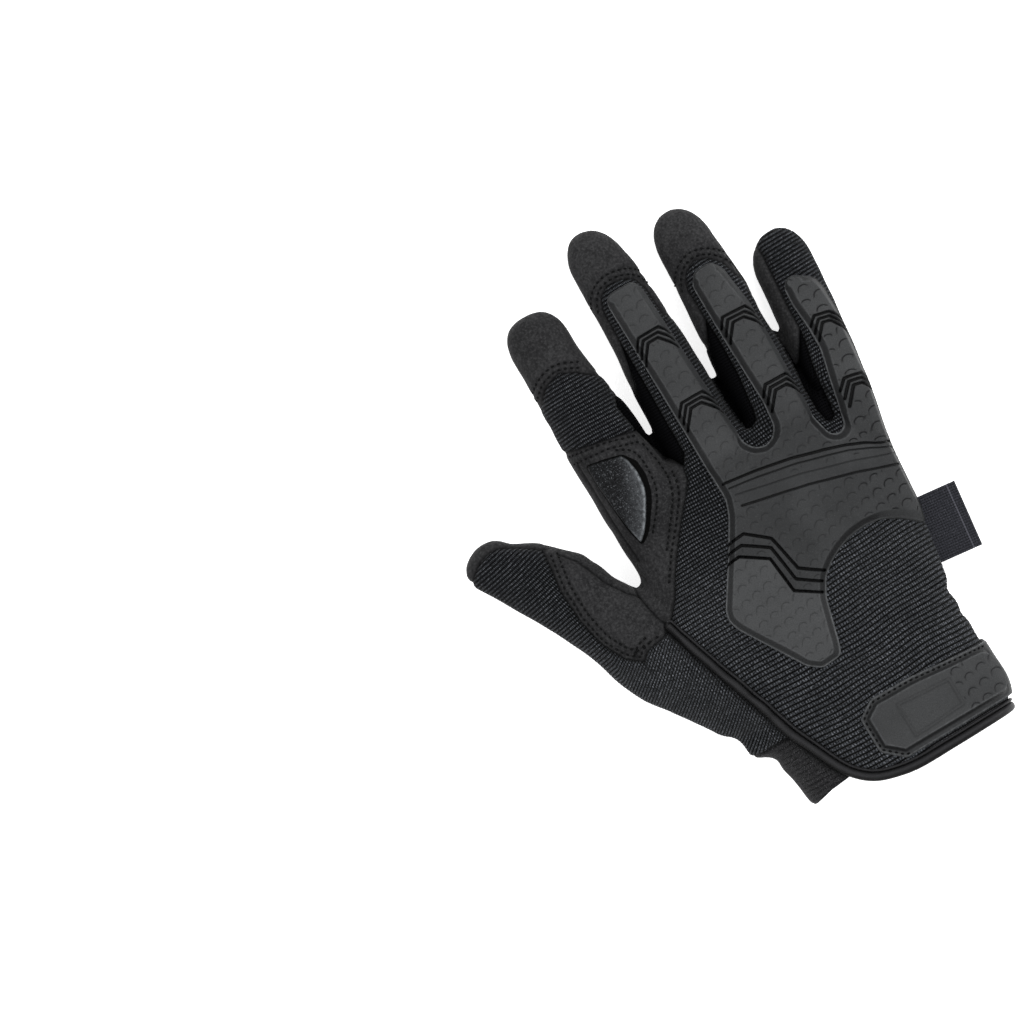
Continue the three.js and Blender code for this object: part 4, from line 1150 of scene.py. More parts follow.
# The finishes: each material's node group with its colours and sizes, and how its shader shines
MATERIALS = {
    "knit": material("knit", shade_group(
        "rib_knit", knit_work, Yarn=(59, 62, 66), Furrow=(3, 3, 4), Fleck=(124, 127, 133), Waffle=0.0,
        Yarn_scale=1.7, Depth=0.0005,
    ), gloss=0.06, sheen=0.04, marks=("Waffle",)),
    "mesh": material("mesh", shade_group(
        "open_mesh", mesh_work, Shadow=(1, 1, 1), Thread=(11, 11, 13), Hole=(1, 1, 2), Holes=1.3,
        Depth=0.0003,
    ), gloss=0.02),
    "suede": material("suede", shade_group(
        "suede_nap", suede_work, Dark=(36, 36, 37), Light=(49, 49, 50), Nap=(68, 68, 69), Pit=(23, 23, 24),
        Grain=1.0, Depth=0.0002,
    ), gloss=0.07, sheen=0.05),
    "grip": material("grip", shade_group(
        "pebble_grain", pebble_work, Dark=(30, 30, 31), Light=(46, 46, 47), Furrow=(10, 10, 11), Grain=1.1,
        Depth=0.0004,
    ), gloss=0.4),
    # The pale colour paints highlights on the rubber's edges, partly real wear, and its pale specks.
    "rubber": material("rubber", shade_group(
        "moulded_rubber", rubber_work, Dark=(35, 36, 37), Light=(69, 70, 71), Rubbed=(110, 112, 114),
        Crest=0.0, Tone=0.5, Speck=0.35, Grain=2.4, Depth=0.0002,
    ), gloss=0.1, marks=("Crest", "Tone")),
    # The pad's pale colour paints the highlight on its lit edge, besides its pale specks.
    "pad": material("pad", shade_group(
        "coated_cloth", rubber_work, Shadow=(1, 1, 1), Dark=(12, 12, 13), Light=(50, 52, 54),
        Rubbed=(140, 144, 148), Crest=0.0, Tone=0.5, Speck=1.0, Grain=1.8, Depth=0.0004,
    ), gloss=0.04, marks=("Crest", "Tone")),
    "satin": material("satin", shade_group(
        "satin_tape", satin_work, Shadow=(1, 1, 1), Dark=(36, 36, 37), Light=(64, 64, 66), Threads=9.0,
        Depth=0.00015,
    ), gloss=0.06),
    "webbing": material("webbing", shade_group(
        "loop_webbing", webbing_work, Dark=(4, 4, 5), Light=(34, 34, 35), Fluff=(108, 108, 111), Ribs=1.0,
        Depth=0.00035,
    ), gloss=0.08, sheen=0.04),
    "woven": material("woven", shade_group(
        "woven_label", woven_work, Dark=(16, 17, 20), Light=(44, 45, 51), Fluff=(88, 88, 96), Ribs=1.0,
        Line_at=14.6, Depth=0.00035,
    ), gloss=0.12, sheen=0.04),
    "thread": material("thread", shade_group(
        "sewing_thread", thread_work, Dark=(3, 3, 4), Light=(18, 18, 19), Depth=0.0001,
    ), gloss=0.06),
}


# Stitches: one Geometry Nodes group lays small threads along lines
def stitch_work(t, g):
    """Each stitch is a long ball, a little wider or narrower than the next."""
    curve = t.node("GeometryNodeMeshToCurve", Mesh=g["Geometry"])[0]
    spaced = {"mode": "LENGTH"}
    points, _, _, turned = t.node("GeometryNodeCurveToPoints", spaced, Curve=curve, Length=g["Pitch"])
    ball = t.node("GeometryNodeMeshUVSphere", Segments=6, Rings=6, Radius=0.5)[0]
    share = t.node("FunctionNodeRandomValue", {"data_type": "FLOAT"}, i2=0.9, i3=1.1, Seed=g["Seed"])[1]
    width = share * g["Width"]
    size = t.node("ShaderNodeCombineXYZ", X=width, Y=width, Z=g["Length"])[0]
    laid = {"Points": points, "Instance": ball, "Rotation": turned, "Scale": size}
    copies = t.node("GeometryNodeInstanceOnPoints", **laid)[0]
    real = t.node("GeometryNodeRealizeInstances", Geometry=copies)[0]
    smooth = t.node("GeometryNodeSetShadeSmooth", Geometry=real)[0]
    return t.node("GeometryNodeSetMaterial", Geometry=smooth, Material=g["Thread"])


STITCHES = group(
    "stitches",
    {
        "Geometry": ("geometry", None), "Pitch": ("value", 0.0026), "Length": ("value", 0.0021),
        "Width": ("value", 0.0006), "Thread": ("material", None), "Seed": ("number", 1),
    },
    ("Geometry",), stitch_work, "GeometryNodeTree",
)
STITCHES.is_modifier = True


def on_surface(line, trees, side, lift, step=0.6):
    """The line from above laid on the surfaces: raised by lift, and parted where it leaves them."""
    line = np.asarray(line, float)
    at = lengths_at(line)
    count = max(2, int(at[-1] / step))
    places = np.column_stack([np.interp(np.linspace(0, at[-1], count), at, line[:, k]) for k in (0, 1)])
    runs, run = [], []
    for x, y in places:
        start = Vector((x, y, 90 * side))
        hits = [tree.ray_cast(start, Vector((0, 0, -side))) for tree in trees]
        hits = [hit for hit in hits if hit[0] is not None and hit[1].z * side > 0.12]
        if hits:
            place, normal = min(hits, key=lambda hit: hit[3])[:2]
            place = place + lift * normal
            run.append((place.x, place.y, max(place.z, GROUND + 0.4)))
        elif run:
            runs.append(run)
            run = []
    return [r for r in runs + [run] if len(r) > 3]


def sew(name, lines, pieces, seed, side=1, pitch=2.4, length=1.35, width=0.85):
    """Stitches along lines laid on the pieces: on the back where side is 1, on the palm where it is -1."""
    trees = [piece.tree() for piece in pieces]
    points, edges = [], []
    for line in lines:
        for run in on_surface(line, trees, side, 0.1):
            first = len(points)
            points += run
            edges += [(first + i, first + i + 1) for i in range(len(run) - 1)]
    mesh = bpy.data.meshes.new(name)
    mesh.from_pydata(((np.array(points) + ORIGIN) * MM).tolist(), edges, [])
    thing = linked(name, mesh)
    modifier = thing.modifiers.new("stitches", "NODES")
    modifier.node_group = STITCHES
    thread = MATERIALS["thread"]
    given = {"Pitch": pitch * MM, "Length": length * MM, "Width": width * MM, "Thread": thread, "Seed": seed}
    for item in STITCHES.interface.items_tree:
        if item.in_out == "INPUT" and item.name in given:
            modifier[item.identifier] = given[item.name]
    made = evaluated(thing)
    thing.modifiers.clear()
    thing.data = made
    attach(thing, "root")


# The outlines with their corners rounded
guard_shape = rounded(GUARD, radius=1.6)
strap_back, strap_palm = rounded(STRAP_BACK, radius=1.2), rounded(STRAP_PALM)
plate_shape = rounded([(75, -94.8), (66, -94.2), *STRAP_BACK[2:-1], (75, -117.2)], radius=1.2)
tape_line = rounded(TAPE, False, 6)
grip_shape = rounded(GRIP)
pad_shape, crown_shape = rounded(KNUCKLE_PAD, radius=1), rounded(PAD_CROWN, radius=1)
thenar_shape, hypothenar_shape = smooth_loop(THENAR), smooth_loop(HYPOTHENAR)

# The cloth
bare_points, bare_faces = bare_glove()
SKIN = (relax(creased(bare_points, bare_faces), bare_faces, 1), bare_faces)
NORMALS = normals_of(*SKIN)

# The rows of stitches of each piece, on the back and on the palm
BACK_ROWS = {
    "index_cap": [moved(rounded(INDEX_ARCH, False), -gap) for gap in (1.5, 3.8)],
    "middle_cap": [moved(rounded(MIDDLE_ARCH[:-1], False), gap) for gap in (1.5, 3.8)],
    "ring_cap": [moved(rounded(RING_ARCH, False), gap) for gap in (1.5, 3.8)],
    "index_side_panel": [rounded(line, False) for line in (
        [(-33.4, 50.6), (-19.4, 48.3), (-8, 44.8)],
        [(-33.4, 47.2), (-18.8, 45.6), (-8, 42)],
        [(-16.4, 43.4), (-11.4, 40.8), (-9.8, 36), (-9.8, 30), (-10.8, 22.6), (-14.8, 15.8), (-20.7, 9)],
        [(-6.4, 40), (-4.8, 31), (-4.5, 24), (-6.5, 17.3), (-13.7, 7.7), (-19.6, 0.4)],
        [(-2.2, 25), (-2.7, 20.2), (-5.4, 14.6), (-12.2, 6), (-18.6, -1.4), (-25.4, -11)],
    )],
    "thumb_crotch_patch": [
        *[moved(rounded(CROTCH_EDGE, False), -gap)[2:-2] for gap in (1.9, 4.4)], [(-40.5, -27), (-50, -27.6)],
    ],
}
PALM_ROWS = {
    "palm_panel": [[(-24, -82.6), (66, -82.6)], [(-24, -85.2), (66, -85.2)], [(-34, 58.4), (-4, 58.4)]],
    "index_palm_tip": [[(-34, 61.6), (-4, 61.6)]],
}
for name, shape in (
    ("grip_patch", grip_shape), ("thenar_pad", thenar_shape), ("hypothenar_pad", hypothenar_shape),
):
    PALM_ROWS[name] = [np.vstack([loop, loop[:1]]) for loop in (inner(shape, 1.5), inner(shape, 4.0))]
FOLD_LINES = {
    "thumb_crotch_patch": [
        [(-56.5, 20.3), (-51.8, 14.2), (-48.8, 7.2), (-46.5, 1.2), (-41.3, -6.5), (-37.1, -10.3)],
    ],
    "index_side_panel": [[(-32.6, 46), (-32.4, 20), (-31.4, 2)]],
}


def nearness(points, lines, half):
    """1 on the nearest line and 0 away from them all."""
    near = np.zeros(len(points))
    for line in lines:
        near = np.maximum(near, bell(distance(points, line), half))
    return near


def rows_of(name):
    return BACK_ROWS.get(name) or PALM_ROWS.get(name, [])


def sewn(name, points):
    """1 on a piece's rows of stitches, which draw the cloth in."""
    return nearness(points, rows_of(name), 0.8)


def folds_of(name, points, half):
    return nearness(points, FOLD_LINES.get(name, ()), half)


def fine_all_over(rows):
    return np.full(len(rows), FINE)


# The panels
def hidden(rows):
    """What lies well under the guard or the strap."""
    covered = np.minimum(signed(rows, guard_shape), signed(rows, strap_back)) < -1.5
    return covered & (rows[:, 2] > SEAM)


def ribs_of(weave):
    """Where the knit of a panel is scored: at the middle and the sides of each furrow that shows."""
    turns = np.arange(-120, 240)[:, None] + 0.5 + np.array([-FURROW_HALF, 0, FURROW_HALF])
    return lambda rows: np.where(hidden(rows), np.nan, weave(rows)[:, 1]), turns.ravel(), 0.05


def panel_relief(name, kind, weave):
    def relief(rows):
        height = -0.8 * bell(rows[:, 6], 1.0) - 0.3 * bell(rows[:, 6], 3.2)
        height -= 0.35 * sewn(name, rows) + 0.5 * folds_of(name, rows, 0.7)
        if "knit" in kind:
            pitch = ROW_THUMB if kind == "thumb_knit" else row_pitch(rows[:, 1])
            height += np.where(hidden(rows), 0, rib(rows, weave(rows)[:, 1], pitch))
        return height
    return relief


def panel_fine(name):
    lines = rows_of(name) + FOLD_LINES.get(name, [])
    return lambda rows: np.where((rows[:, 6] > -2.2) | (nearness(rows, lines, 1.5) > 0.4), FINE, COARSE)


def panel(name, back, palm, kind):
    weave = thumb_weave if name.startswith("thumb") else hand_weave
    relief = panel_relief(name, kind, weave)
    scores = [ribs_of(weave)] if "knit" in kind else ()
    piece = Piece(name, panel_field(back, palm), relief, panel_fine(name), scores=scores)
    rows = piece.rows
    edge, stitches, folds = bell(rows[:, 6], 0.6), sewn(name, rows), folds_of(name, rows, 0.5)
    # Painted shade at the panel's seams, along its rows of stitches and in its folds.
    shadow = np.max([0.85 * edge, 0.3 * stitches, 0.8 * folds], axis=0)
    # A painted shadow of the tape on the cloth beside it.
    if name in ("thumb_back", "loop_band"):
        beside = np.maximum(distance(rows, tape_line) - TAPE_WIDE / 2, 0)
        shadow = np.maximum(shadow, 0.9 * bell(beside, 1.5) * (rows[:, 2] > SEAM))
    finish = "knit" if kind == "thumb_knit" else kind
    piece.build(MATERIALS[finish], finish, weave, deep=shadow, waffle=waffled(rows))
    return piece


pieces = {name: panel(name, *given) for name, given in PANELS.items()}


# Patches and pads
def under(shape):
    """A field for a patch on the palm, well below the side seam."""
    return lambda points: np.maximum(signed(points, shape), points[:, 2] - SEAM + 1)


def over(shape):
    """A field for a piece on the back."""
    return lambda points: np.maximum(signed(points, shape), SEAM - points[:, 2])


def patch_relief(name, thick, edge):
    """A patch with a rounded edge, drawn in by its stitches and proud between them."""
    def relief(rows):
        height = thick * (0.35 + 0.65 * edge_round(rows, edge))
        return height + 0.25 * bell(-rows[:, 6] - 2.8, 0.9) - 0.6 * sewn(name, rows)
    return relief


def patch_fine(rows):
    return np.where(rows[:, 6] > -5.5, FINE, COARSE)


# The cloth simulation. The sheet is this many times its size in it, where the solver is steady.
CLOTH_SCALE = 100.0
PRESSURE, STIFFNESS, CLOTH_FRAMES = 4.0, 60.0, 20
SWELLING = 2.2  # the most that a pad may swell


def swollen(field, lines):
    """How far a sheet of cloth that is held at its border and its stitches swells when it is blown up."""
    points, faces = SKIN
    near = field(points)
    sheet, faces = biggest(*clip(np.column_stack([points, NORMALS, near]), faces, near + 0.12))
    start = sheet[:, :3] * MM * CLOTH_SCALE
    mesh = bpy.data.meshes.new("sheet")
    mesh.from_pydata(start.tolist(), [], faces.tolist())
    thing = linked("sheet", mesh)
    held = np.flatnonzero((sheet[:, 6] > -1.5) | (nearness(sheet, lines, 1.0) > 0.5))
    thing.vertex_groups.new(name="held").add(held.tolist(), 1.0, "ADD")
    cloth = thing.modifiers.new("cloth", "CLOTH").settings
    cloth.vertex_group_mass = "held"
    cloth.use_pressure = True
    cloth.uniform_pressure_force = PRESSURE
    cloth.effector_weights.gravity = 0
    cloth.tension_stiffness = cloth.compression_stiffness = cloth.shear_stiffness = STIFFNESS
    for number in range(1, CLOTH_FRAMES + 1):
        bpy.context.scene.frame_set(number)
    made = evaluated(thing)
    end = np.empty(len(made.vertices) * 3)
    made.vertices.foreach_get("co", end)
    bpy.data.objects.remove(thing)
    bpy.context.scene.frame_set(1)
    moved_by = (end.reshape(-1, 3) - start) / (MM * CLOTH_SCALE)
    lift = np.clip(np.einsum("ij,ij->i", moved_by, sheet[:, 3:6]), 0, SWELLING)
    tree = BVHTree.FromPolygons(sheet[:, :3].tolist(), faces.tolist())

    def read(rows):
        out = np.zeros(len(rows))
        for k, row in enumerate(rows[:, :3]):
            place, _, face, _ = tree.find_nearest(Vector(row))
            away = np.linalg.norm(sheet[faces[face], :3] - np.array(place), axis=1)
            weights = 1 / (away + 0.05)
            out[k] = lift[faces[face]] @ weights / weights.sum()
        return out
    return read


def grip_patch():
    name = "grip_patch"
    piece = Piece(name, under(grip_shape), patch_relief(name, PATCH, 1.0), patch_fine, SEATED)
    # Painted shade along the rows of stitches.
    piece.build(MATERIALS["grip"], "grip", deep=0.35 * sewn(name, piece.rows))
    return piece


def palm_pad(name, shape):
    flat, swell = patch_relief(name, PAD, 1.6), swollen(under(shape), rows_of(name))
    piece = Piece(name, under(shape), lambda rows: flat(rows) + swell(rows), patch_fine, SEATED)
    # Painted shade along the rows of stitches.
    made = piece.build(MATERIALS["suede"], "suede", deep=0.35 * sewn(name, piece.rows))
    return piece


def knuckle_pad():
    """A padded insert: a crown with a steep round side, standing in a low border, and a painted highlight at
    its edge.
    """
    swell = swollen(over(pad_shape), [])

    def relief(rows):
        return 0.3 + 1.5 * quarter_round(-signed(rows, crown_shape) / 1.3) + 0.6 * swell(rows)

    piece = Piece("index_knuckle_pad", over(pad_shape), relief, fine_all_over, SEATED)
    x, y = piece.rows[:, 0], piece.rows[:, 1]
    inside = -signed(piece.rows, crown_shape)
    # Painted light from the right: the pad's highlight and its tone grow towards its right side, and its
    # highlight fades towards the top.
    right = ramp(x - 0.35 * (y - 30), -24, -17)
    shine = 0.85 * right * (1 - 0.6 * ramp(y, 28, 39))
    bright = (bell(inside - 0.7, 0.55) + 0.3 * bell(inside, 4.5)) * shine
    # The crest mark is the painted highlight, the tone is lighter on the lit side, and the deep mark is
    # painted shade on the border round the crown.
    marks = {"crest": bright, "tone": 0.3 + 0.45 * right, "deep": ramp(-inside, -0.7, 0)}
    made = piece.build(MATERIALS["pad"], "rubber", **marks)


pieces["grip_patch"] = grip_patch()
pieces["thenar_pad"] = palm_pad("thenar_pad", thenar_shape)
pieces["hypothenar_pad"] = palm_pad("hypothenar_pad", hypothenar_shape)
knuckle_pad()

# The moulded knuckle guard: grooved chevrons over the finger joints, angled grooves over the lower plate,
# steps over the knuckles and shallow arcs like scales
Chevron = namedtuple("Chevron", "x y flat reach drop slope")
CHEVRONS = [
    Chevron(17.2, 75.8, 3.9, 6.8, 4.0, 0.0), Chevron(18.5, 45.9, 4.0, 7.3, 4.4, -0.03),
    Chevron(49.7, 65.8, 4.2, 6.7, 3.7, -0.04), Chevron(50.0, 35.3, 4.0, 6.9, 4.0, -0.04),
    Chevron(78.5, 47.6, 2.4, 5.4, 3.6, -0.28), Chevron(76.0, 21.0, 2.6, 6.0, 4.4, -0.24),
]
CHEVRON_STEP, CHEVRON_NARROWING, CHEVRON_LONGER = 1.85, 0.25, 1.4
ANGLED = [
    [(-0.6, -12.4), (1.8, -10.5), (9, -10), (17, -17), (20, -32), (28.6, -38)],
    [(-2.6, -15.8), (-0.4, -13.9), (6, -13.5), (15, -20), (17, -35), (25.6, -41)],
    [(-5.2, -19.2), (-2.6, -17.2), (3, -17), (12.5, -23.5), (14, -38.5), (23.4, -44.8)],
]
Groove = namedtuple("Groove", "line half deep")
CORE = 0.5  # the share of a groove's width that is its floor


def chevron(mark):
    """Three grooves one below the other, each with a narrower top and longer legs than the one before."""
    grooves = []
    for k in range(3):
        flat = mark.flat * (1 - CHEVRON_NARROWING * k)
        foot = mark.drop + CHEVRON_LONGER * k
        across = np.array([-mark.reach, -flat, flat, mark.reach])
        up = mark.y - CHEVRON_STEP * k + mark.slope * across - np.array([foot, 0, 0, foot])
        grooves.append(Groove(np.column_stack([mark.x + across, up]), 0.68, 1.4))
    return grooves


GROOVES = [
    Groove([(12, 10.2), (26, 8), (40, 5.2), (52, 2), (60, -0.6), (68, -4.2), (78, -9.6)], 0.65, 1.0),
    Groove([(13, 7.4), (26, 5.4), (40, 2.7), (52, -0.5), (60, -3), (68, -6.8), (78, -12.2)], 0.4, 0.6),
    Groove([(14, -0.4), (40, -6.3), (58, -11.6), (73, -17.4)], 0.55, 0.8),
    Groove([(14, 4.2), (40, -1.5), (58, -6.8), (74, -12.8)], 0.35, 0.3),
    *[Groove(line, 0.72, 1.5) for line in ANGLED],
    *[groove for mark in CHEVRONS for groove in chevron(mark)],
]
LOWER_PLATE = [*ANGLED[2][2:], (40, -60), (10, -90), (-40, -60), (-20, -19.2)]
BAND = [(14, 7), (78, -10), (74, -16), (14, 0)]  # the plain band between the steps
EDGE = 0.4  # how far in the guard's thin edge reaches its full thickness
BEVEL_FROM, BEVEL_TO = 0.75, 2.9
FINGER_ENDS = [(8, 28, 97), (38, 59, 87.5), (68, 88, 66.5)]  # from x, to x, y
ARC_RADIUS, ARC_ACROSS, ARC_ALONG, ARC_HALF = 1.95, 5.5, 5.2, 0.34
ARC_TURN = math.radians(9.5)  # the lines of scales rise to the right
ARC_LEVELS = np.array([-ARC_HALF, 0, ARC_HALF])


def arc_place(rows):
    """Distance outwards from the nearest scale's arc, and how fully that arc is there."""
    x = rows[:, 0] * math.cos(ARC_TURN) + rows[:, 1] * math.sin(ARC_TURN) - 4.0
    y = rows[:, 1] * math.cos(ARC_TURN) - rows[:, 0] * math.sin(ARC_TURN) - 3.5
    line = np.round((y - 1.2) / ARC_ALONG)
    y -= line * ARC_ALONG
    x -= (line % 2) * ARC_ACROSS / 2
    x -= np.round(x / ARC_ACROSS) * ARC_ACROSS
    return np.hypot(x, y) - ARC_RADIUS, ramp(y, -0.2, 0.8)


def arc_depth(rows):
    away, there = arc_place(rows)
    return np.maximum(0, 1 - np.abs(away) / ARC_HALF) * there


def guard_depth(rows):
    """The depth inside the guard's outline, counted faster at the fingers' ends, whose bevel is narrow."""
    ends = np.zeros(len(rows))
    for low, high, top in FINGER_ENDS:
        here = (rows[:, 0] > low) & (rows[:, 0] < high) & (rows[:, 1] > 30)
        ends[here] = ramp(rows[here, 1], top - 5, top - 1.5)
    return -rows[:, 6] * (1 + 1.3 * ends)


def on_lower_plate(rows):
    return ramp(-signed(rows, LOWER_PLATE), -0.3, 0.3)


def guard_flat(rows):
    """1 on the guard's flats, where the arcs are, and 0 on its border, plain band and near its grooves."""
    flat = ramp(guard_depth(rows), BEVEL_TO, BEVEL_TO + 0.6) * ramp(signed(rows, BAND), -0.6, 0.4)
    for g in GROOVES:
        flat *= ramp(distance(rows, g.line), 0.9, 1.5)
    return flat


def guard_scores():
    """Where the guard is scored, at its bevels, its arcs and the sides of its grooves."""
    def across(line):
        return lambda rows: np.where(distance(rows, line) < 2.5, along_line(rows, line)[1], np.nan)

    def arcs(rows):
        away, there = arc_place(rows)
        return np.where((guard_flat(rows) > 0.1) & (there > 0.05), away, np.nan)

    out = [(guard_depth, np.array([EDGE, BEVEL_FROM, BEVEL_TO, BEVEL_TO + 0.3]), 0.1)]
    out += [(across(g.line), g.half * np.array([-1, -CORE, CORE, 1]), 0.06) for g in GROOVES]
    return out + [(arcs, ARC_LEVELS, 0.06)]


def groove_cut(rows):
    """The depth of the grooves, and the same as a share of each one's own depth."""
    deep, share = np.zeros(len(rows)), np.zeros(len(rows))
    for g in GROOVES:
        here = np.interp(distance(rows, g.line), [CORE * g.half, g.half], [1, 0])
        deep, share = np.maximum(deep, g.deep * here), np.maximum(share, min(1, g.deep) * here)
    return deep, share


def guard_relief(rows):
    depth = guard_depth(rows)
    places = [0, EDGE, BEVEL_FROM, BEVEL_TO, BEVEL_TO + 0.3]
    height = np.interp(depth, places, [0.35, FLANGE, FLANGE, PLATE - 0.1, PLATE])
    height += 0.35 * on_lower_plate(rows) * ramp(depth, BEVEL_FROM, BEVEL_TO)
    height -= groove_cut(rows)[0] * np.interp(depth, [0.3, 1.2], [0, 1])
    return height - 0.2 * arc_depth(rows) * guard_flat(rows) * (1 + ramp(rows[:, 0], 48, 66))


def guard_fine(rows):
    near = guard_depth(rows) < BEVEL_TO + 0.5
    for g in GROOVES:
        near |= distance(rows, g.line) < 1.4
    return np.where(near, FINE, COARSE)


def knuckle_guard():
    """The guard, with painted highlights on its worn edges and painted shade in its bevels, grooves and arcs
    as marks.
    """
    piece = Piece("knuckle_guard", over(guard_shape), guard_relief, guard_fine, SEATED, guard_scores())
    rows = piece.rows
    x, y, _, turned = rows[:, :4].T
    depth = guard_depth(rows)
    level = 1 - ramp(turned, 0.25, 0.45)  # the glove's own side shows no edge
    arch = ramp(x, 20, 34) * ramp(-y, 22, 28)  # the lower arch is in the shade of its own bevel
    # Painted highlight along the thin edge and the top of the bevel, partly real wear.
    crest = 0.8 * np.interp(depth, [0.1, EDGE, BEVEL_FROM], [1, 1, 0])
    crest += 0.3 * np.interp(depth - BEVEL_TO, [-0.1, 0.1, 0.5], [0, 1, 0])
    # Painted shade on the bevels, deeper in the lower arch, and on the glove's side under the guard's right
    # edge.
    sides = [BEVEL_FROM - 0.2, BEVEL_FROM + 0.1, BEVEL_TO - 0.2, BEVEL_TO + 0.1]
    bevel = 0.5 * np.interp(depth, sides, [0, 1, 1, 0]) * (1 + 0.4 * arch) * level
    bevel = np.maximum(bevel, 0.7 * ramp(turned, 0.3, 0.5) * ramp(x, 70, 74) * ramp(-depth, -2.4, -1.2))
    # Painted shade in the arcs, stronger towards the right.
    arcs = arc_depth(rows) * guard_flat(rows) * (0.45 + 0.5 * ramp(x, 48, 66))
    # The deep mark is painted shade in the bevels, the grooves and the arcs.
    piece.build(
        MATERIALS["rubber"], "rubber", crest=crest * level * (1 - 0.8 * arch),
        tone=0.35 + 0.25 * ramp(y, 14, 24) + 0.6 * on_lower_plate(rows),
        deep=np.max([bevel, groove_cut(rows)[1], arcs], axis=0),
    )


knuckle_guard()

# The closure strap: a flange sewn down round a raised plate
PLATE_FOOT, PLATE_TOP = 2.2, 3.4  # how far inside its outline the plate rises
STRAP_FRAME = [(26, -97.6), (47.5, -99.6), (47.5, -110.4), (26, -111.6), (26, -97.6)]  # a plain raised line


def strap_field(points):
    back, palm = signed(points, strap_back), signed(points, strap_palm)
    below = SEAM - points[:, 2]
    round_side = np.max([back, palm, 50 - points[:, 0]], axis=0)
    return np.min([np.maximum(back, below), np.maximum(palm, -below), round_side], axis=0)


def plate_depth(rows):
    """How far inside the plate's outline a row is, fading where the strap turns round the side."""
    return -signed(rows, plate_shape) * ramp(rows[:, 2], 19, 26)


def strap_arcs(rows):
    on_plate = ramp(plate_depth(rows), PLATE_TOP, PLATE_TOP + 0.5)
    return arc_depth(rows) * ramp(rows[:, 0], 48.5, 49.5) * on_plate


def strap_relief(rows):
    depth = plate_depth(rows)
    on_back = rows[:, 2] > SEAM
    sewn_down = 0.3 * bell(depth - 1.3, 0.5) * on_back
    rise = np.interp(depth, [PLATE_FOOT, PLATE_TOP], [0, STRAP - FLANGE])
    fold = 0.6 * (1 - np.abs(rows[:, 5]))
    line = 0.3 * bell(distance(rows, STRAP_FRAME), 0.45) * on_back
    return FLANGE * edge_round(rows, 0.6) + rise + line + fold - sewn_down - 0.4 * strap_arcs(rows)


def strap_fine(rows):
    near = (rows[:, 6] > -2) | (np.abs(plate_depth(rows) - PLATE_FOOT) < 2.2)
    return np.where(near | (distance(rows, STRAP_FRAME) < 1.2), FINE, COARSE)


def wrist_strap():
    def arcs(rows):
        return np.where(rows[:, 0] > 44, arc_place(rows)[0], np.nan)

    scores = [(plate_depth, np.array([PLATE_FOOT, PLATE_TOP]), 0.08), (arcs, ARC_LEVELS, 0.06)]
    piece = Piece("wrist_strap", strap_field, strap_relief, strap_fine, SEATED, scores)
    rows = piece.rows
    depth = plate_depth(rows)
    # Painted highlight along the plate's top edge and the flange's border, partly real wear.
    crest = 0.4 * np.interp(depth, [3.2, 3.5, 3.9], [0, 1, 0])
    crest += 0.6 * np.interp(-rows[:, 6], [0.1, 0.5, 0.9], [1, 1, 0])
    # Painted shade on the plate's bevel, darker on its side towards the cuff.
    bevel = np.interp(depth, [1.9, 2.3, 3.1, PLATE_TOP], [0, 1, 1, 0])
    bevel *= np.where(rows[:, 1] < -104, 0.75, 0.5)
    # Painted shade beside the raised frame line.
    framed = 0.3 * bell(distance(rows, STRAP_FRAME) - 0.6, 0.3) * (depth > PLATE_TOP)
    # The deep mark is painted shade on the bevel, beside the frame line and in the arcs.
    piece.build(
        MATERIALS["rubber"], "rubber", crest=crest, tone=np.where(depth > 3, 0.55, 0.3),
        deep=np.max([bevel, framed, 0.55 * strap_arcs(rows)], axis=0),
    )
    return piece


strap = wrist_strap()

# The satin tape over the back panel's free edge: a broad and a narrow roll with a groove between them
TAPE_GROOVE = 1.1  # from the tape's middle
TAPE_SCORES = TAPE_GROOVE + np.array([-2.6, -1.9, -0.3, 0, 0.3, 1])


def tape_weave(rows):
    return np.column_stack(along_line(rows, tape_line))


def tape_across(rows):
    return along_line(rows, tape_line)[1]


def tape_roll(across):
    """From 0 at the tape's borders and in its groove to 1 on top of each roll."""
    half = TAPE_WIDE / 2 + 0.05
    left, right = (half - TAPE_GROOVE) / 2, (half + TAPE_GROOVE) / 2
    past = across - TAPE_GROOVE
    away = np.where(past > 0, (past - left) / left, (past + right) / right)
    return np.sqrt(np.maximum(0, 1 - away**2))


def tape_relief(rows):
    across = tape_across(rows)
    return 0.25 + (TAPE_HIGH - 0.25) * tape_roll(across) * np.where(across > TAPE_GROOVE, 0.6, 1)


def tape_base(rows):
    """The tape's underside reaches down over the cuff's edge."""
    return SEATED - (WALL + 0.55) * ramp(-tape_across(rows), 0.2, 1.4) * ramp(-rows[:, 1], 113, 115)


def cuff_binding():
    def field(points):
        return np.maximum(np.abs(tape_across(points)) - TAPE_WIDE / 2, SEAM - points[:, 2])

    scores = [(tape_across, TAPE_SCORES, 0.06)]
    piece = Piece("cuff_binding", field, tape_relief, fine_all_over, tape_base, scores)
    across = tape_across(piece.rows)
    # Painted highlight on each roll's top; the deep mark paints shade over the rest of the tape.
    shine = bell(across + 0.3, 0.9) + bell(across - 1.85, 0.4)  # on each roll's top
    piece.build(MATERIALS["satin"], "satin", tape_weave, deep=0.95 * (1 - np.minimum(shine, 1)))
    return piece


tape = cuff_binding()

# The label: a strip folded in two, with the fold away from the glove. Its corners start at the seam's end
# towards the fingers and go round over the fold.
LABEL = np.array([(72.0, -32.4), (90.8, -34.7), (87.4, -61.8), (68.9, -59.4)])
LABEL_SIZE = (18, 26)
LABEL_THICK, LABEL_GAP = 0.62, 0.55  # of each leaf and between them
LABEL_FOLD = 0.95  # the share of the width where the fold begins
LABEL_STATIONS = 25


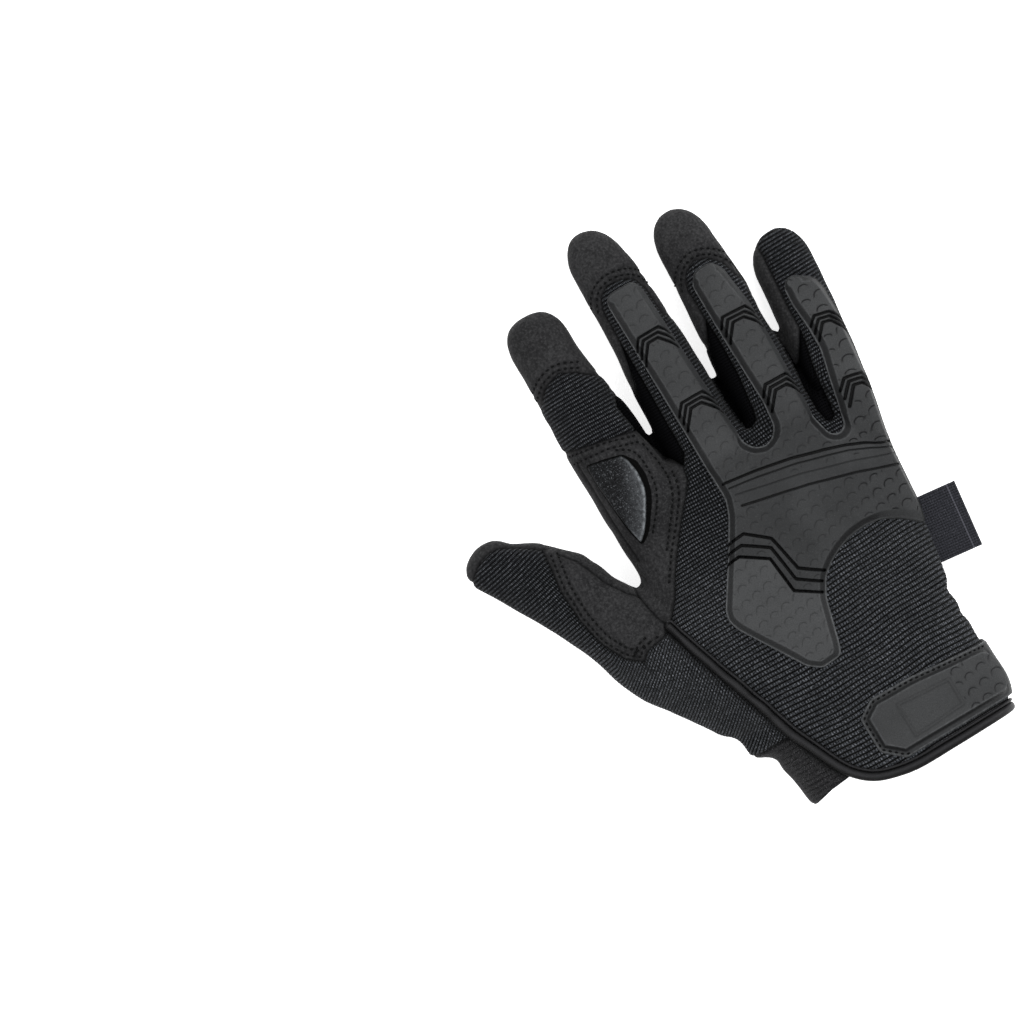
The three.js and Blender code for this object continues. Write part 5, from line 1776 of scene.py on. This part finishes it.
def label_points():
    """Places and cloth places. A column runs along the outer line of the folded section and back along its
    inner one, and each step to the next column goes along the seam."""
    turn = np.linspace(0, math.pi / 2, 7)[1:]
    leaf = np.concatenate([np.linspace(-0.14, LABEL_FOLD, 14), LABEL_FOLD + (1 - LABEL_FOLD) * np.sin(turn)])
    upper = np.concatenate([np.ones(14), np.cos(turn)])
    across = np.append(leaf, leaf[-2::-1])
    side = np.append(upper, -upper[-2::-1])
    layer = np.repeat([1.0, 0.0], len(across))[:, None]
    across = np.append(across, across[::-1])[:, None]
    side = np.append(side, side[::-1])[:, None]
    v = np.linspace(0, 1, LABEL_STATIONS)
    top_left, top_right, low_right, low_left = LABEL
    wide = top_right - top_left
    top = top_left + wide * across
    low = low_left + (low_right - low_left) * across
    shrink = (1 - layer) * LABEL_THICK * np.maximum(0, across - LABEL_FOLD) / (1 - LABEL_FOLD) / LABEL_SIZE[0]
    flat = top[:, None] + (low - top)[:, None] * v[:, None] - (wide * shrink)[:, None]
    wave = 0.35 * np.sin(5 * across + 1) * np.sin(3.4 * v + 0.5) * across
    half_gap = LABEL_GAP / 2 + LABEL_THICK * layer + 0.27 * across
    height = SEAM - 2.4 * np.maximum(across, 0) + side * half_gap + wave
    cloth = np.dstack(np.broadcast_arrays(across * LABEL_SIZE[0], v * LABEL_SIZE[1]))
    return np.dstack([flat, height]), cloth


def side_label():
    points, cloth = label_points()
    number = np.arange(points[..., 0].size).reshape(points.shape[:2])
    after = np.roll(number, -1, axis=0)
    tube = np.dstack([number[:, :-1], after[:, :-1], after[:, 1:], number[:, 1:]]).reshape(-1, 4)
    outer, back = np.split(number, 2)
    quads = [tube]
    for k, near, far in ((0, outer, back[::-1]), (-1, back[::-1], outer)):
        quads.append(np.column_stack([near[:-1, k], far[:-1, k], far[1:, k], near[1:, k]]))
    quads = np.vstack(quads)
    faces = np.vstack([quads[:, [2, 1, 0]], quads[:, [3, 2, 0]]])
    mesh = bare_mesh("side_label", points.reshape(-1, 3), faces)
    uv = mesh.uv_layers.new(name="weave").data
    uv.foreach_set("uv", cloth.reshape(-1, 2)[faces.ravel()].ravel())
    for mark in ("inside", "deep"):
        layer = mesh.attributes.new(mark, "FLOAT", "POINT")
        layer.data.foreach_set("value", np.zeros(number.size, np.float32))
    finished("side_label", mesh, MATERIALS["woven"], "woven")


side_label()

# Every row of stitches
for name, rows, side in (("back_stitches", BACK_ROWS, 1), ("palm_stitches", PALM_ROWS, -1)):
    lines = [line for own in rows.values() for line in own]
    sew(name, lines, [pieces[own] for own in rows], seed=3, side=side)
strap_row = [place for place in inner(plate_shape, 1.3) if place[0] < 66.5]
sew("strap_stitches", [strap_row], [strap], seed=5)
sew("tape_stitches", [moved(tape_line, TAPE_GROOVE)[2:-2]], [tape], seed=7, length=1.7, width=0.5)


# The stage: a pale floor and soft studio light
Lamp = namedtuple("Lamp", "name place size power")
LAMPS = [
    Lamp("key", (0.75, 0.35, 1.1), 0.9, 10.0),
    Lamp("fill", (-0.9, 0.2, 0.9), 1.2, 2.0),
    Lamp("rim", (0.1, -1.0, 0.7), 0.8, 1.5),
]
FLOOR_HALF = 3.0


def stage():
    mesh = bpy.data.meshes.new("floor")
    corners = [(x * FLOOR_HALF, y * FLOOR_HALF, 0) for x, y in ((-1, -1), (1, -1), (1, 1), (-1, 1))]
    mesh.from_pydata(corners, [], [(0, 1, 2, 3)])
    floor = linked("floor", mesh)
    paint = bpy.data.materials.new("floor")
    paint.use_nodes = True
    shader = paint.node_tree.nodes["Principled BSDF"]
    shader.inputs["Base Color"].default_value = (0.9, 0.9, 0.9, 1)
    shader.inputs["Roughness"].default_value = 0.9
    shader.inputs["Specular IOR Level"].default_value = 0.2
    shader.inputs["Emission Color"].default_value = (1, 1, 1, 1)
    shader.inputs["Emission Strength"].default_value = 0.75
    mesh.materials.append(paint)
    world = bpy.data.worlds.new("studio")
    world.use_nodes = True
    world.node_tree.nodes["Background"].inputs[0].default_value = (1, 1, 1, 1)
    world.node_tree.nodes["Background"].inputs[1].default_value = 0.65 * LAMPLIGHT
    bpy.context.scene.world = world
    for name, place, size, power in LAMPS:
        lamp = bpy.data.lights.new(name, "AREA")
        lamp.size, lamp.energy = size, power * LAMPLIGHT
        thing = linked(name, lamp)
        thing.location = place
        thing.rotation_euler = (-Vector(place)).to_track_quat("-Z", "Y").to_euler()


stage()
